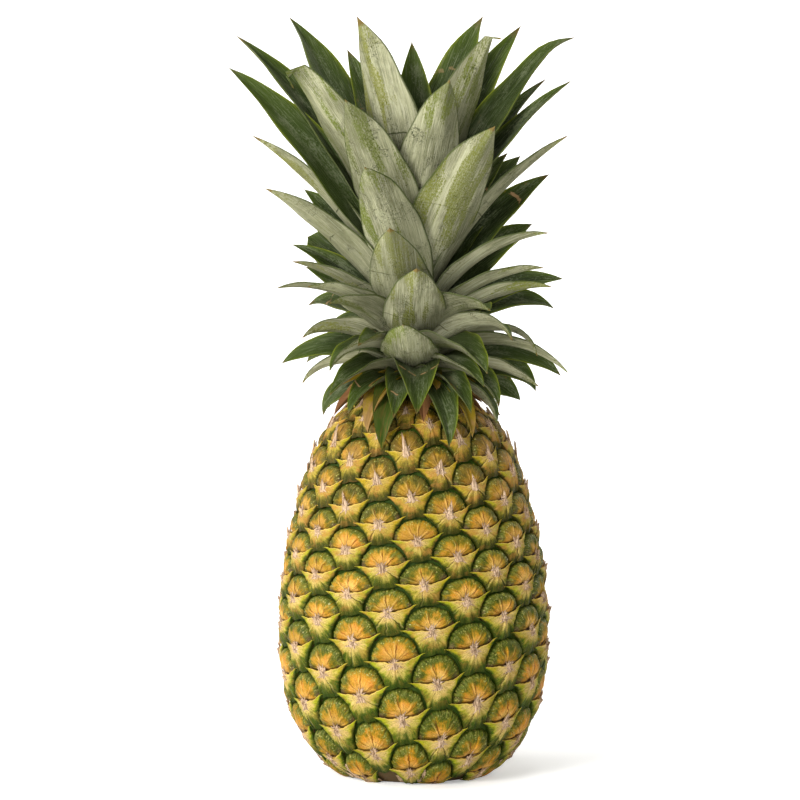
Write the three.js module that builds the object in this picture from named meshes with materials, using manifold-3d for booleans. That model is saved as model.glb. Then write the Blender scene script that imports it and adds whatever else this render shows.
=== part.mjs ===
// A whole pineapple, standing on its base: the fruit with its spiral of eyes, the cut stem
// under it, and the leafy crown on top. Millimetres, +Z up. The origin is the centre of the
// stem's cut face, which is flush with the base that the fruit stands on.

import * as THREE from "three";
import { mergeVertices } from "three/addons/utils/BufferGeometryUtils.js";
import Module from "manifold-3d";

const wasm = await Module();
wasm.setup();

// Driving dimensions of the fruit
const fruitHeight = 175.5;
const jointGap = 0.3; // between pieces that lie face to face
// Outline of the fruit in the grooves between its eyes, as [radius, height]. It runs on below
// the base and above the shoulder, and the fruit is cut off level there.
const fruitOutline = [
  [22, -80],
  [22, -20],
  [27.5, -3],
  [38.5, 6],
  [48.5, 18],
  [55.5, 34],
  [58.8, 54],
  [59.2, 74],
  [57, 98],
  [52, 122],
  [45.5, 144],
  [37.5, 160],
  [27, 170],
  [17, 179],
  [14, 190],
  [14, 245],
];
const outlineSteps = 600;
const cutSize = 200; // side of the blocks that cut the ends level

// The eyes follow one spiral: each turns by a fixed angle from the one below and sits a
// little higher. The spiral runs clockwise going up, and 8, 13 and 21 rows of eyes cross.
const eyeTurn = -137.28; // degrees
const frontEyeAzimuth = -98.4; // degrees, the eye from which the others are counted
const frontEyeArc = 153; // its place along the outline from the outline's lower end
// How much higher the next eye sits along the outline, as [height, rise]
const eyeRises = [
  [0, 1.54],
  [30, 1.34],
  [60, 1.13],
  [90, 0.92],
  [120, 0.92],
  [150, 1.03],
  [175, 1.07],
];

// One eye fills one cell of the spiral. Across, -1 and 1 are the tips of its bract's wings;
// along, -1 and 1 are the middles of its lower and upper edges. The third number is its
// height in millimetres above the groove. The bract's lip stands over the dome's foot.
const eyeShape = {
  tip: [0, 0.12, 5],
  lipRight: [0.5, 0.02, 3],
  lipLeft: [-0.5, 0.02, 3],
  footRight: [0.5, 0.14, 1.7],
  foot: [0, 0.2, 2.5],
  footLeft: [-0.5, 0.14, 1.7],
  dome: [0, 0.55, 3.1],
  domeRight: [0.42, 0.45, 2.5],
  domeLeft: [-0.42, 0.45, 2.5],
  bract: [0, -0.45, 2.7],
};
const cornerHeight = 0.5;
const grooveHeight = 0.1; // at the middle of a cell's slanting edges
const bractEndHeight = 1; // at the middle of the edge where a bract lies on the next dome
const domeBulge = 0.14; // how far the dome's edges bow out, as a share of the cell
const fullRadius = 58; // radius at which the heights above hold in full
const tipScatter = 1.3; // millimetres, on the height of the dried tips
const domeScatter = 0.5; // millimetres, on the height of the domes

// Cut stem in its socket
const stemRadius = 13;
const stemDepth = 24;
const stemChamfer = 0.6;
const stemSides = 20;
const hollowRadius = 23; // the shallow hollow round the stem
const hollowDepth = 2.4;

// Stem of the crown, as [radius, height]
const crownFoot = fruitHeight + jointGap;
const crownStem = [
  [0, crownFoot],
  [17, crownFoot],
  [21, 184],
  [23, 200],
  [21, 220],
  [17, 241],
  [10, 260],
  [0, 271],
];
const crownStemSides = 14;

// Leaves of the crown. Each is [tip x, tip y, tip z, height of its root, width, bow], where
// bow is how many degrees it starts above and ends below the straight line to its tip.
const tallLeaves = [
  [-82, 24, 340, 222, 24, 14],
  [-85, 10, 325, 214, 24, 14],
  [-58, 44, 349, 232, 28, 9],
  [-60, -20, 331, 222, 28, 12],
  [-26, -10, 348, 236, 30, 8],
  [-31, 34, 334, 236, 20, 8],
  [-1, 14, 337, 238, 24, 3],
  [-5, 2, 314, 240, 12, 2],
  [32, 28, 349, 236, 28, 11],
  [37, -10, 343, 232, 27, 8],
  [50, 38, 345, 230, 20, 14],
  [72, 22, 343, 226, 24, 16],
  [16, -28, 319, 230, 30, 9],
  [-31, -34, 310, 222, 30, 9],
  [36, -40, 298, 218, 31, 10],
  [-22, -48, 280, 212, 28, 13],
  [61, 24, 320, 222, 20, 14],
  [72, 8, 319, 218, 18, 18],
  [70, -6, 294, 212, 21, 16],
  [63, 26, 276, 208, 24, 16],
  [-74, 2, 294, 208, 21, 16],
  [-68, -8, 270, 202, 22, 18],
  [-51, 26, 269, 208, 22, 14],
  [44, 34, 286, 214, 20, 12],
];
const middleLeaves = [
  [-49, 18, 247, 200, 24, 12],
  [-56, 6, 244, 198, 18, 20],
  [-55, -18, 237, 196, 23, 24],
  [-50, 20, 233, 194, 20, 18],
  [-63, 4, 224, 192, 20, 40],
  [-48, -26, 226, 194, 19, 30],
  [-38, -38, 219, 192, 21, 30],
  [-11, -52, 253, 206, 28, 22],
  [1, -54, 235, 198, 28, 28],
  [-5, -55, 210, 188, 26, 40],
  [61, -18, 250, 202, 20, 32],
  [55, 24, 253, 204, 26, 16],
  [59, -12, 234, 198, 20, 28],
  [69, 10, 228, 194, 18, 34],
  [63, -6, 225, 192, 18, 32],
  [65, 18, 214, 190, 22, 48],
  [34, -44, 216, 192, 27, 38],
  [46, -34, 206, 188, 22, 42],
  [60, -10, 199, 188, 18, 46],
];
const lowLeaves = [
  [-50, 12, 204, 186, 16, 58],
  [-51, -12, 202, 186, 18, 50],
  [-60, 6, 188, 184, 18, 48],
  [-38, -36, 189, 187, 21, 55],
  [-25, -45, 199, 185, 22, 44],
  [-52, -4, 182, 182, 18, 42],
  [-37, -34, 176, 182, 20, 48],
  [-43, 10, 166, 179, 16, 44],
  [-30, -33, 169, 179, 18, 44],
  [-9, -47, 167, 179, 18, 46],
  [1, -50, 169, 183, 23, 52],
  [70, -4, 185, 187, 18, 46],
  [68, 14, 183, 185, 18, 44],
  [58, 10, 178, 182, 18, 42],
  [56, -8, 178, 181, 18, 42],
  [49, 6, 172, 179, 17, 40],
  [32, -47, 187, 187, 27, 52],
  [39, -34, 173, 182, 22, 46],
  [31, -40, 181, 183, 18, 44],
  [25, -44, 169, 180, 18, 46],
  [39, -27, 165, 179, 18, 44],
  [16, -51, 156, 179, 21, 52],
];
// The leaves behind follow a rule: whorls of [count, tip reach, tip height, root height,
// width, bow], spread over the back half with a seeded scatter
const backWhorls = [
  [4, 58, 312, 228, 26, 10],
  [5, 70, 286, 214, 25, 15],
  [5, 68, 250, 202, 24, 24],
  [5, 64, 218, 192, 23, 38],
  [5, 60, 190, 185, 22, 46],
  [6, 50, 171, 180, 19, 44],
];
const backFrom = 25; // degrees of azimuth
const backTo = 155;
const backScatter = 5; // millimetres at the tips, and degrees round the stem
const backSeed = 7;

const leafThickness = 1.8; // at the middle of the blade
const leafEdge = 0.7;
const leafCup = 0.2; // depth of the channel, as a share of the width
const leafRootReach = 3; // distance from the axis where a leaf is rooted in the stem
const longLeaf = 75; // leaves longer than this get the finer division
const longLeafSteps = 5;
const shortLeafSteps = 3;
const leafRootShare = 0.35; // width at the root, as a share of the full width
const leafSwell = 2.2; // how fast a leaf reaches its full width
const leafTaper = 2.6; // the higher, the blunter the leaf towards its tip
const leafHandle = 0.36; // share of a leaf's length that keeps its first and last direction

const colours = {
  rind: 0xa8912f,
  stem: 0xb39a6c,
  leaf: 0x7f9068,
};

function toSolid(geometry) {
  const bare = geometry.clone();
  bare.deleteAttribute("normal");
  bare.deleteAttribute("uv");
  const merged = mergeVertices(bare, 1e-4);
  return new wasm.Manifold(
    new wasm.Mesh({
      numProp: 3,
      vertProperties: merged.attributes.position.array,
      triVerts: new Uint32Array(merged.index.array),
    }),
  );
}

// The largest body of a fused solid, with the hollows that fusing sealed filled
function largestBody(fused) {
  const bodies = fused.decompose();
  return bodies.reduce((a, b) => (b.volume() > a.volume() ? b : a));
}

function toMesh(name, fused, colour, roughness) {
  const found = fused.getMesh();
  const geometry = new THREE.BufferGeometry();
  geometry.setAttribute("position", new THREE.BufferAttribute(found.vertProperties, 3));
  geometry.setIndex(new THREE.BufferAttribute(found.triVerts, 1));
  geometry.computeVertexNormals();
  const material = new THREE.MeshStandardMaterial({ color: colour, roughness, metalness: 0 });
  const mesh = new THREE.Mesh(geometry, material);
  mesh.name = name;
  return mesh;
}

function meshGeometry(points, faces) {
  const geometry = new THREE.BufferGeometry();
  const flat = points.flatMap((p) => [p.x, p.y, p.z]);
  geometry.setAttribute("position", new THREE.Float32BufferAttribute(flat, 3));
  geometry.setIndex(faces.flat());
  return geometry;
}

function latheSolid(outline, sides) {
  const points = outline.map(([r, z]) => new THREE.Vector2(r, z));
  const geometry = new THREE.LatheGeometry(points, sides);
  geometry.rotateX(Math.PI / 2);
  return toSolid(geometry);
}

function slab(size, low, high) {
  const geometry = new THREE.BoxGeometry(size, size, high - low);
  geometry.translate(0, 0, (low + high) / 2);
  return toSolid(geometry);
}

// A repeatable number from 0 to 1
function scatter(seed) {
  const value = Math.sin(seed * 12.9898 + 4.1414) * 43758.5453;
  return value - Math.floor(value);
}

// The fruit

function between(table, at) {
  const last = table.length - 1;
  if (at <= table[0][0]) return table[0][1];
  if (at >= table[last][0]) return table[last][1];
  const k = table.findIndex(([x]) => x > at);
  const [[x0, y0], [x1, y1]] = [table[k - 1], table[k]];
  return THREE.MathUtils.mapLinear(at, x0, x1, y0, y1);
}

// How far an eye a number of places up the spiral lies round the fruit, in degrees
function turnOf(places) {
  return THREE.MathUtils.euclideanModulo(places * eyeTurn + 180, 360) - 180;
}

// The skin of the fruit as one net of cells, closed to a point on the axis at both ends
function netOfEyes() {
  const outline = new THREE.SplineCurve(fruitOutline.map(([r, z]) => new THREE.Vector2(r, z)));
  outline.arcLengthDivisions = outlineSteps;
  const length = outline.getLength();
  const riseAt = (arc) => between(eyeRises, outline.getPointAt(arc / length).y);

  const arcs = [frontEyeArc];
  while (arcs[0] - riseAt(arcs[0]) > 0) arcs.unshift(arcs[0] - riseAt(arcs[0]));
  const front = arcs.length - 1;
  while (arcs.at(-1) + riseAt(arcs.at(-1)) < length) arcs.push(arcs.at(-1) + riseAt(arcs.at(-1)));
  const azimuthOf = (eye) => frontEyeAzimuth + (eye - front) * eyeTurn;

  function surface(azimuth, arc, height) {
    const at = outline.getPointAt(arc / length);
    const along = outline.getTangentAt(arc / length);
    const rise = height * Math.sqrt(at.x / fullRadius);
    const radius = at.x + rise * along.y;
    const angle = THREE.MathUtils.degToRad(azimuth);
    return new THREE.Vector3(radius * Math.cos(angle), radius * Math.sin(angle), at.y - rise * along.x);
  }

  const points = [];
  const known = new Map();
  function point(name, [azimuth, arc], height) {
    if (!known.has(name)) {
      known.set(name, points.length);
      points.push(surface(azimuth, arc, height));
    }
    return known.get(name);
  }

  // A corner where three eyes meet: the one named, the one 21 places up and one between
  function cornerPlace(eye, row) {
    const turn = (turnOf(row) + turnOf(21)) / 3;
    return [azimuthOf(eye) + turn, (arcs[eye] + arcs[eye + row] + arcs[eye + 21]) / 3];
  }
  const corner = (eye, row) => point(`corner ${eye} ${row}`, cornerPlace(eye, row), cornerHeight);

  // The same place named with an azimuth near that of another eye
  function near(eye, [azimuth, arc]) {
    const home = azimuthOf(eye);
    return [home + THREE.MathUtils.euclideanModulo(azimuth - home + 180, 360) - 180, arc];
  }

  // The middle of an upper edge of an eye, bowed away from it. The edge is named by its row.
  const edgeEnds = {
    8: (eye) => [cornerPlace(eye, 8), cornerPlace(eye - 13, 13)],
    13: (eye) => [cornerPlace(eye - 8, 8), cornerPlace(eye, 13)],
    21: (eye) => [cornerPlace(eye, 8), cornerPlace(eye, 13)],
  };
  function edge(eye, row) {
    const [a, b] = edgeEnds[row](eye).map((place) => near(eye, place));
    const bow = (one, other, home) => (one + other) / 2 + domeBulge * ((one + other) / 2 - home);
    const place = [bow(a[0], b[0], azimuthOf(eye)), bow(a[1], b[1], arcs[eye])];
    return point(`edge ${eye} ${row}`, place, row === 21 ? bractEndHeight : grooveHeight);
  }

  const faces = [];
  for (let eye = 21; eye < arcs.length - 21; eye++) {
    const home = [azimuthOf(eye), arcs[eye]];
    const rightWing = near(eye, cornerPlace(eye - 8, 8));
    const leftWing = near(eye, cornerPlace(eye - 13, 13));
    const upper = [near(eye, cornerPlace(eye, 8)), near(eye, cornerPlace(eye, 13))];
    const lower = [near(eye, cornerPlace(eye - 21, 8)), near(eye, cornerPlace(eye - 21, 13))];
    const across = [0, 1].map((k) => (rightWing[k] - leftWing[k]) / 2);
    const along = [0, 1].map((k) => (upper[0][k] + upper[1][k] - lower[0][k] - lower[1][k]) / 4);
    const tipRise = (2 * scatter(eye) - 1) * tipScatter;
    const domeRise = (2 * scatter(eye + 0.5) - 1) * domeScatter;
    const inner = {};
    for (const [name, [x, y, z]] of Object.entries(eyeShape)) {
      const place = [0, 1].map((k) => home[k] + x * across[k] + y * along[k]);
      const extra = name === "tip" ? tipRise : name.startsWith("dome") ? domeRise : 0;
      inner[name] = point(`${name} ${eye}`, place, z + extra);
    }
    const { tip, lipRight, lipLeft, footRight, foot, footLeft } = inner;
    const { dome, domeRight, domeLeft, bract } = inner;
    const wingRight = corner(eye - 8, 8);
    const wingLeft = corner(eye - 13, 13);
    const [topRight, topLeft] = [corner(eye, 13), corner(eye, 8)];
    const [lowLeft, lowRight] = [corner(eye - 21, 8), corner(eye - 21, 13)];
    const [upRight, top, upLeft] = [edge(eye, 13), edge(eye, 21), edge(eye, 8)];
    const [downLeft, end, downRight] = [edge(eye - 13, 13), edge(eye - 21, 21), edge(eye - 8, 8)];
    faces.push(
      // dome
      [wingRight, upRight, footRight],
      [footRight, upRight, domeRight],
      [upRight, topRight, domeRight],
      [domeRight, topRight, dome],
      [topRight, top, dome],
      [top, topLeft, dome],
      [topLeft, domeLeft, dome],
      [topLeft, upLeft, domeLeft],
      [upLeft, footLeft, domeLeft],
      [upLeft, wingLeft, footLeft],
      [footRight, domeRight, dome],
      [footRight, dome, foot],
      [foot, dome, footLeft],
      [footLeft, dome, domeLeft],
      // ledge under the lip of the bract
      [lipRight, wingRight, footRight],
      [tip, lipRight, footRight],
      [tip, footRight, foot],
      [tip, foot, footLeft],
      [tip, footLeft, lipLeft],
      [lipLeft, footLeft, wingLeft],
      // bract
      [wingLeft, downLeft, lipLeft],
      [downLeft, bract, lipLeft],
      [downLeft, lowLeft, bract],
      [lowLeft, end, bract],
      [end, lowRight, bract],
      [lowRight, downRight, bract],
      [downRight, lipRight, bract],
      [downRight, wingRight, lipRight],
      [lipRight, tip, bract],
      [tip, lipLeft, bract],
    );
  }

  // Edges with a face on one side only are joined to a point on the axis, beyond either end
  const open = new Map();
  for (const [a, b, c] of faces) {
    for (const [from, to] of [[a, b], [b, c], [c, a]]) {
      if (!open.delete(`${to} ${from}`)) open.set(`${from} ${to}`, [from, to]);
    }
  }
  const beyond = fruitOutline.at(-1)[1] - fruitOutline[0][1];
  const lowEnd = points.push(new THREE.Vector3(0, 0, -beyond)) - 1;
  const highEnd = points.push(new THREE.Vector3(0, 0, beyond)) - 1;
  for (const [from, to] of open.values()) {
    faces.push([to, from, points[from].z < 0 ? lowEnd : highEnd]);
  }
  return meshGeometry(points, faces);
}

function fruitSolid() {
  const socket = latheSolid(
    [
      [0, -stemChamfer],
      [hollowRadius + stemChamfer, -stemChamfer],
      [hollowRadius, stemChamfer],
      [stemRadius + jointGap, hollowDepth],
      [stemRadius + jointGap, stemDepth + jointGap],
      [0, stemDepth + jointGap],
    ],
    stemSides,
  );
  return largestBody(
    toSolid(netOfEyes())
      .subtract(slab(cutSize, -2 * cutSize, 0))
      .subtract(slab(cutSize, fruitHeight, 2 * cutSize))
      .subtract(socket),
  );
}

// The crown

function backLeaves() {
  const leaves = [];
  let seed = backSeed;
  for (const [count, reach, height, root, width, bow] of backWhorls) {
    for (let k = 0; k < count; k++) {
      const nudge = () => (2 * scatter(seed++) - 1) * backScatter;
      const share = (k + 0.5) / count;
      const azimuth = THREE.MathUtils.degToRad(backFrom + share * (backTo - backFrom) + nudge());
      const far = reach + nudge();
      leaves.push([
        far * Math.cos(azimuth),
        far * Math.sin(azimuth),
        height + nudge(),
        root,
        width,
        bow,
      ]);
    }
  }
  return leaves;
}

function leafWidthShare(t) {
  return Math.min(1, leafRootShare + leafSwell * t) * (1 - t ** leafTaper);
}

function leafSolid([x, y, z, rootHeight, width, bow]) {
  const azimuth = Math.atan2(y, x);
  const reach = Math.hypot(x, y);
  const chord = Math.atan2(z - rootHeight, reach - leafRootReach);
  const length = Math.hypot(z - rootHeight, reach - leafRootReach);
  const lean = THREE.MathUtils.degToRad(bow);
  const towards = (angle) => new THREE.Vector2(Math.cos(angle), Math.sin(angle));
  const start = new THREE.Vector2(leafRootReach, rootHeight);
  const end = new THREE.Vector2(reach, z);
  const spine = new THREE.CubicBezierCurve(
    start,
    start.clone().addScaledVector(towards(chord + lean), length * leafHandle),
    end.clone().addScaledVector(towards(chord - lean), -length * leafHandle),
    end,
  );
  const out = new THREE.Vector3(Math.cos(azimuth), Math.sin(azimuth), 0);
  const side = new THREE.Vector3(-Math.sin(azimuth), Math.cos(azimuth), 0);
  const steps = length > longLeaf ? longLeafSteps : shortLeafSteps;
  const points = [];
  for (let k = 0; k < steps; k++) {
    const t = k / steps;
    const at = spine.getPoint(t);
    const along = spine.getTangent(t);
    const upper = out.clone().multiplyScalar(-along.y).setZ(along.x);
    const middle = out.clone().multiplyScalar(at.x).setZ(at.y);
    const half = (width / 2) * leafWidthShare(t);
    const raised = 2 * half * leafCup;
    const put = (across, over) =>
      points.push(middle.clone().addScaledVector(side, across).addScaledVector(upper, over));
    put(-half, raised + leafEdge / 2);
    put(-half, raised - leafEdge / 2);
    put(0, -leafThickness / 2);
    put(half, raised - leafEdge / 2);
    put(half, raised + leafEdge / 2);
    put(0, leafThickness / 2);
  }
  const sides = 6;
  const tip = points.length;
  points.push(new THREE.Vector3(x, y, z));
  const faces = [];
  for (let k = 0; k < steps; k++) {
    for (let j = 0; j < sides; j++) {
      const a = k * sides + j;
      const b = k * sides + ((j + 1) % sides);
      if (k === steps - 1) faces.push([a, b, tip]);
      else faces.push([a, b, a + sides], [b, b + sides, a + sides]);
    }
  }
  faces.push([0, 5, 1], [1, 5, 2], [2, 5, 3], [3, 5, 4]);
  return toSolid(meshGeometry(points, faces));
}

function crownSolid() {
  const leaves = [...tallLeaves, ...middleLeaves, ...lowLeaves, ...backLeaves()];
  return largestBody(wasm.Manifold.union([latheSolid(crownStem, crownStemSides), ...leaves.map(leafSolid)]));
}

function cutStemSolid() {
  return latheSolid(
    [
      [0, 0],
      [stemRadius - stemChamfer, 0],
      [stemRadius, stemChamfer],
      [stemRadius, stemDepth],
      [0, stemDepth],
    ],
    stemSides,
  );
}

const pineapple = new THREE.Group();
pineapple.add(toMesh("fruit", fruitSolid(), colours.rind, 0.6));
pineapple.add(toMesh("cut_stem", cutStemSolid(), colours.stem, 0.9));
pineapple.add(toMesh("crown", crownSolid(), colours.leaf, 0.55));

export default pineapple;
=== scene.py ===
"""A whole pineapple: the fruit with its spiral of eyes, each a ridged dome over a streaked
bract with a dried tip, the cut stem, and the crown of stiff waxy leaves."""

import math

import bpy
import numpy as np
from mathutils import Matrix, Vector


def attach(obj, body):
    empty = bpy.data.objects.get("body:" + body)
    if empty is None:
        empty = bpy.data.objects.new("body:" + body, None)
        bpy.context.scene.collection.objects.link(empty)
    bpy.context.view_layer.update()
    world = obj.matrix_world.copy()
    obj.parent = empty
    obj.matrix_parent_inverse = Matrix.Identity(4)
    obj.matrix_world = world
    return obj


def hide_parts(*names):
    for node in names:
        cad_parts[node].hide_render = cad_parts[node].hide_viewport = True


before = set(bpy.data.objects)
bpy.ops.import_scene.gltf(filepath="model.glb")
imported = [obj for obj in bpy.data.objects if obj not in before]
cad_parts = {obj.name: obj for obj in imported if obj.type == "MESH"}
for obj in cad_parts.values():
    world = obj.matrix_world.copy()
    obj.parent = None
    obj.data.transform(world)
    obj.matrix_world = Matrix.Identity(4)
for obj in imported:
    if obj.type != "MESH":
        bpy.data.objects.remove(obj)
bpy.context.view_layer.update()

bl_info = {
    "name": "Whole Pineapple",
    "version": (1, 0, 0),
    "blender": (4, 5, 0),
    "location": "View3D > Sidebar > Pineapple",
    "description": "Builds a pineapple's rind, bracts, crown leaves and cut stem, with its studio",
    "category": "Add Mesh",
}

MM = 0.001
BODY = "root"
BRACT_SHARP, TIP_SHARP, LEAF_SHARP, STEM_SHARP = 55, 40, 60, 40  # degrees

# The fruit's outline and spiral, in millimetres and degrees, the same as in part.mjs
FRUIT_HEIGHT = 175.5
FRUIT_OUTLINE = [
    (22, -80), (22, -20), (27.5, -3), (38.5, 6), (48.5, 18), (55.5, 34), (58.8, 54), (59.2, 74),
    (57, 98), (52, 122), (45.5, 144), (37.5, 160), (27, 170), (17, 179), (14, 190), (14, 245),
]
EYE_TURN = -137.28
FRONT_EYE_AZIMUTH = -98.4
FRONT_EYE_ARC = 153
EYE_RISES = [(0, 1.54), (30, 1.34), (60, 1.13), (90, 0.92), (120, 0.92), (150, 1.03), (175, 1.07)]
ROW_RIGHT, ROW_LEFT, ROW_UP = 8, 13, 21  # an eye's neighbours, counted along the spiral
FULL_RADIUS = 58
FIRST_EYE_HEIGHT = -2
LAST_EYE_RADIUS = 21
LIP_ROLL = 0.07
LIP_SAG = 0.11
HALF_HEIGHT = 85  # where the eyes are shared out between a lower and an upper piece
STEM_RADIUS = 13
STEM_DEPTH = 24

# Leaves of the crown, as [tip x, tip y, tip z, height of the root, width, bow]
TALL_LEAVES = [
    (-82, 24, 340, 222, 24, 14), (-85, 10, 325, 214, 24, 14), (-58, 44, 349, 232, 28, 9),
    (-60, -20, 331, 222, 28, 12), (-26, -10, 348, 236, 30, 8), (-31, 34, 334, 236, 20, 8),
    (-1, 14, 337, 238, 24, 3), (-5, 2, 314, 240, 12, 2), (32, 28, 349, 236, 28, 11),
    (37, -10, 343, 232, 27, 8), (50, 38, 345, 230, 20, 14), (72, 22, 343, 226, 24, 16),
    (16, -28, 319, 230, 30, 9), (-31, -34, 310, 222, 30, 9), (36, -40, 298, 218, 31, 10),
    (-22, -48, 280, 212, 28, 13), (61, 24, 320, 222, 20, 14), (72, 8, 319, 218, 18, 18),
    (70, -6, 294, 212, 21, 16), (63, 26, 276, 208, 24, 16), (-74, 2, 294, 208, 21, 16),
    (-68, -8, 270, 202, 22, 18), (-51, 26, 269, 208, 22, 14), (44, 34, 286, 214, 20, 12),
]
MIDDLE_LEAVES = [
    (-49, 18, 247, 200, 24, 12), (-56, 6, 244, 198, 18, 20), (-55, -18, 237, 196, 23, 24),
    (-50, 20, 233, 194, 20, 18), (-63, 4, 224, 192, 20, 40), (-48, -26, 226, 194, 19, 30),
    (-38, -38, 219, 192, 21, 30), (-11, -52, 253, 206, 28, -12), (1, -54, 235, 198, 28, -14),
    (-5, -55, 210, 188, 26, -20), (61, -18, 250, 202, 20, 32), (55, 24, 253, 204, 26, 16),
    (59, -12, 234, 198, 20, 28), (69, 10, 228, 194, 18, 34), (63, -6, 225, 192, 18, 32),
    (65, 18, 214, 190, 22, 48), (34, -44, 216, 192, 27, 38), (46, -34, 206, 188, 22, 42),
    (60, -10, 199, 188, 18, 46),
]
LOW_LEAVES = [
    (-50, 12, 204, 186, 16, 58), (-51, -12, 202, 186, 18, 50), (-60, 6, 188, 184, 18, 48),
    (-38, -36, 189, 187, 21, 55), (-25, -45, 199, 185, 22, 44), (-52, -4, 182, 182, 18, 42),
    (-37, -34, 176, 182, 20, 48), (-43, 10, 166, 179, 16, 44), (-30, -33, 169, 179, 18, 44),
    (-9, -47, 167, 179, 18, 46), (1, -50, 169, 183, 23, 52), (70, -4, 185, 187, 18, 46),
    (68, 14, 183, 185, 18, 44), (58, 10, 178, 182, 18, 42), (56, -8, 178, 181, 18, 42),
    (49, 6, 172, 179, 17, 40), (32, -47, 187, 187, 27, 52), (39, -34, 173, 182, 22, 46),
    (31, -40, 181, 183, 18, 44), (25, -44, 169, 180, 18, 46), (39, -27, 165, 179, 18, 44),
    (16, -51, 156, 179, 21, 52),
]
# Whorls behind, as [count, tip reach, tip height, root height, width, bow]
BACK_WHORLS = [
    (4, 58, 312, 228, 26, 10), (5, 70, 286, 214, 25, 15), (5, 68, 250, 202, 24, 24),
    (5, 64, 218, 192, 23, 38), (5, 60, 190, 185, 22, 46), (6, 50, 171, 180, 19, 44),
]
BACK_FROM, BACK_TO = 25, 155
BACK_SCATTER = 5
BACK_SEED = 7
LEAF_ROOT_REACH = 3
LEAF_HANDLE = 0.36


def colour_property(name, description, default):
    return bpy.props.FloatVectorProperty(
        name=name, description=description, default=default, size=4, subtype="COLOR", min=0, max=1
    )


class PineappleRind(bpy.types.PropertyGroup):
    dome_height: bpy.props.FloatProperty(
        name="Dome height", description="How far an eye's dome stands above the grooves",
        default=3.0 * MM, min=0.5 * MM, max=4 * MM, unit="LENGTH",
    )
    lip_height: bpy.props.FloatProperty(
        name="Lip height", description="How far a bract's lip stands above the grooves",
        default=3.2 * MM, min=1 * MM, max=4 * MM, unit="LENGTH",
    )
    ridge_depth: bpy.props.FloatProperty(
        name="Ridge depth", description="Depth of the short ridges round a dome's rim",
        default=0.3 * MM, min=0, max=0.6 * MM, unit="LENGTH",
    )
    long_tip: bpy.props.FloatProperty(
        name="Long tip", description="Length of the dried tips near the crown",
        default=9 * MM, min=2 * MM, max=14 * MM, unit="LENGTH",
    )
    short_tip: bpy.props.FloatProperty(
        name="Short tip", description="Length of the dried tips below mid height",
        default=3.6 * MM, min=1 * MM, max=8 * MM, unit="LENGTH",
    )
    orange: colour_property("Dome orange", "Middle of a dome", (0.6, 0.25, 0.014, 1))
    tan: colour_property("Dome tan", "Pale parts of a dome", (0.82, 0.56, 0.15, 1))
    olive: colour_property("Rim olive", "Rim of a dome", (0.1, 0.11, 0.004, 1))
    groove: colour_property("Groove", "Between the eyes", (0.02, 0.045, 0.002, 1))
    lime: colour_property("Bract lime", "Wings of a bract", (0.33, 0.37, 0.004, 1))
    cream: colour_property("Bract cream", "Streaks and edge of a bract", (0.7, 0.5, 0.19, 1))
    green: colour_property("Bract green", "Foot of a bract", (0.05, 0.11, 0.001, 1))
    dry: colour_property("Dried tip", "Dried tips and fibres", (0.62, 0.45, 0.31, 1))


class PineappleCrown(bpy.types.PropertyGroup):
    leaf_thickness: bpy.props.FloatProperty(
        name="Leaf thickness", description="At the middle of the blade",
        default=1.5 * MM, min=0.6 * MM, max=3 * MM, unit="LENGTH",
    )
    edge_thickness: bpy.props.FloatProperty(
        name="Edge thickness", description="At the margin of the blade",
        default=0.5 * MM, min=0.2 * MM, max=1 * MM, unit="LENGTH",
    )
    channel: bpy.props.FloatProperty(
        name="Channel", description="Depth of a leaf's channel as a share of its width",
        default=0.2, min=0, max=0.5, subtype="FACTOR",
    )
    bloom: colour_property("Bloom", "Waxy bloom on the undersides", (0.47, 0.475, 0.315, 1))
    scraped: colour_property("Scraped", "Where the bloom is rubbed off", (0.11, 0.145, 0.014, 1))
    upper: colour_property("Upper face", "Glossy upper faces", (0.01, 0.016, 0.005, 1))
    margin: colour_property("Margin", "Pale margins of the leaves", (0.26, 0.32, 0.03, 1))
    burnt: colour_property("Burnt tip", "Dry brown tips and scars", (0.17, 0.12, 0.035, 1))


class PineappleStage(bpy.types.PropertyGroup):
    distance: bpy.props.FloatProperty(
        name="Camera distance", description="From the camera to the pineapple's axis",
        default=1.8, min=0.8, max=4, unit="LENGTH",
    )
    elevation: bpy.props.FloatProperty(
        name="Elevation", description="How far the camera looks down",
        default=math.radians(4), min=0, max=1.2, subtype="ANGLE",
    )
    aim_x: bpy.props.FloatProperty(
        name="Aim across", description="Sideways place of the point in the picture's middle",
        default=-6.4 * MM, min=-0.1, max=0.1, unit="LENGTH",
    )
    aim_z: bpy.props.FloatProperty(
        name="Aim height", description="Height of the point in the picture's middle",
        default=172.7 * MM, min=0, max=0.4, unit="LENGTH",
    )
    field: bpy.props.FloatProperty(
        name="Field", description="Width of the picture at the pineapple's axis",
        default=368 * MM, min=0.2, max=1, unit="LENGTH",
    )


# Numbers that repeat from run to run


def scatter(seed):
    """A number from 0 to 1 that looks random and is the same in each run."""
    value = math.sin(seed * 12.9898 + 4.1414) * 43758.5453
    return value - math.floor(value)


def smooth(low, high, value):
    """From 0 to 1 between two values, soft at both ends."""
    t = np.clip((np.asarray(value, float) - low) / (high - low), 0, 1)
    return t * t * (3 - 2 * t)


# Meshes


def grid_faces(columns, rows):
    """Quads of a grid of points stored row by row."""
    return [
        (r * columns + c, r * columns + c + 1, (r + 1) * columns + c + 1, (r + 1) * columns + c)
        for r in range(rows - 1)
        for c in range(columns - 1)
    ]


def level_ring(radius, angle, z):
    """Points round the axis at one height."""
    flat = np.full(len(angle), float(z))
    return np.stack([radius * np.cos(angle), radius * np.sin(angle), flat], -1)


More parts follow.
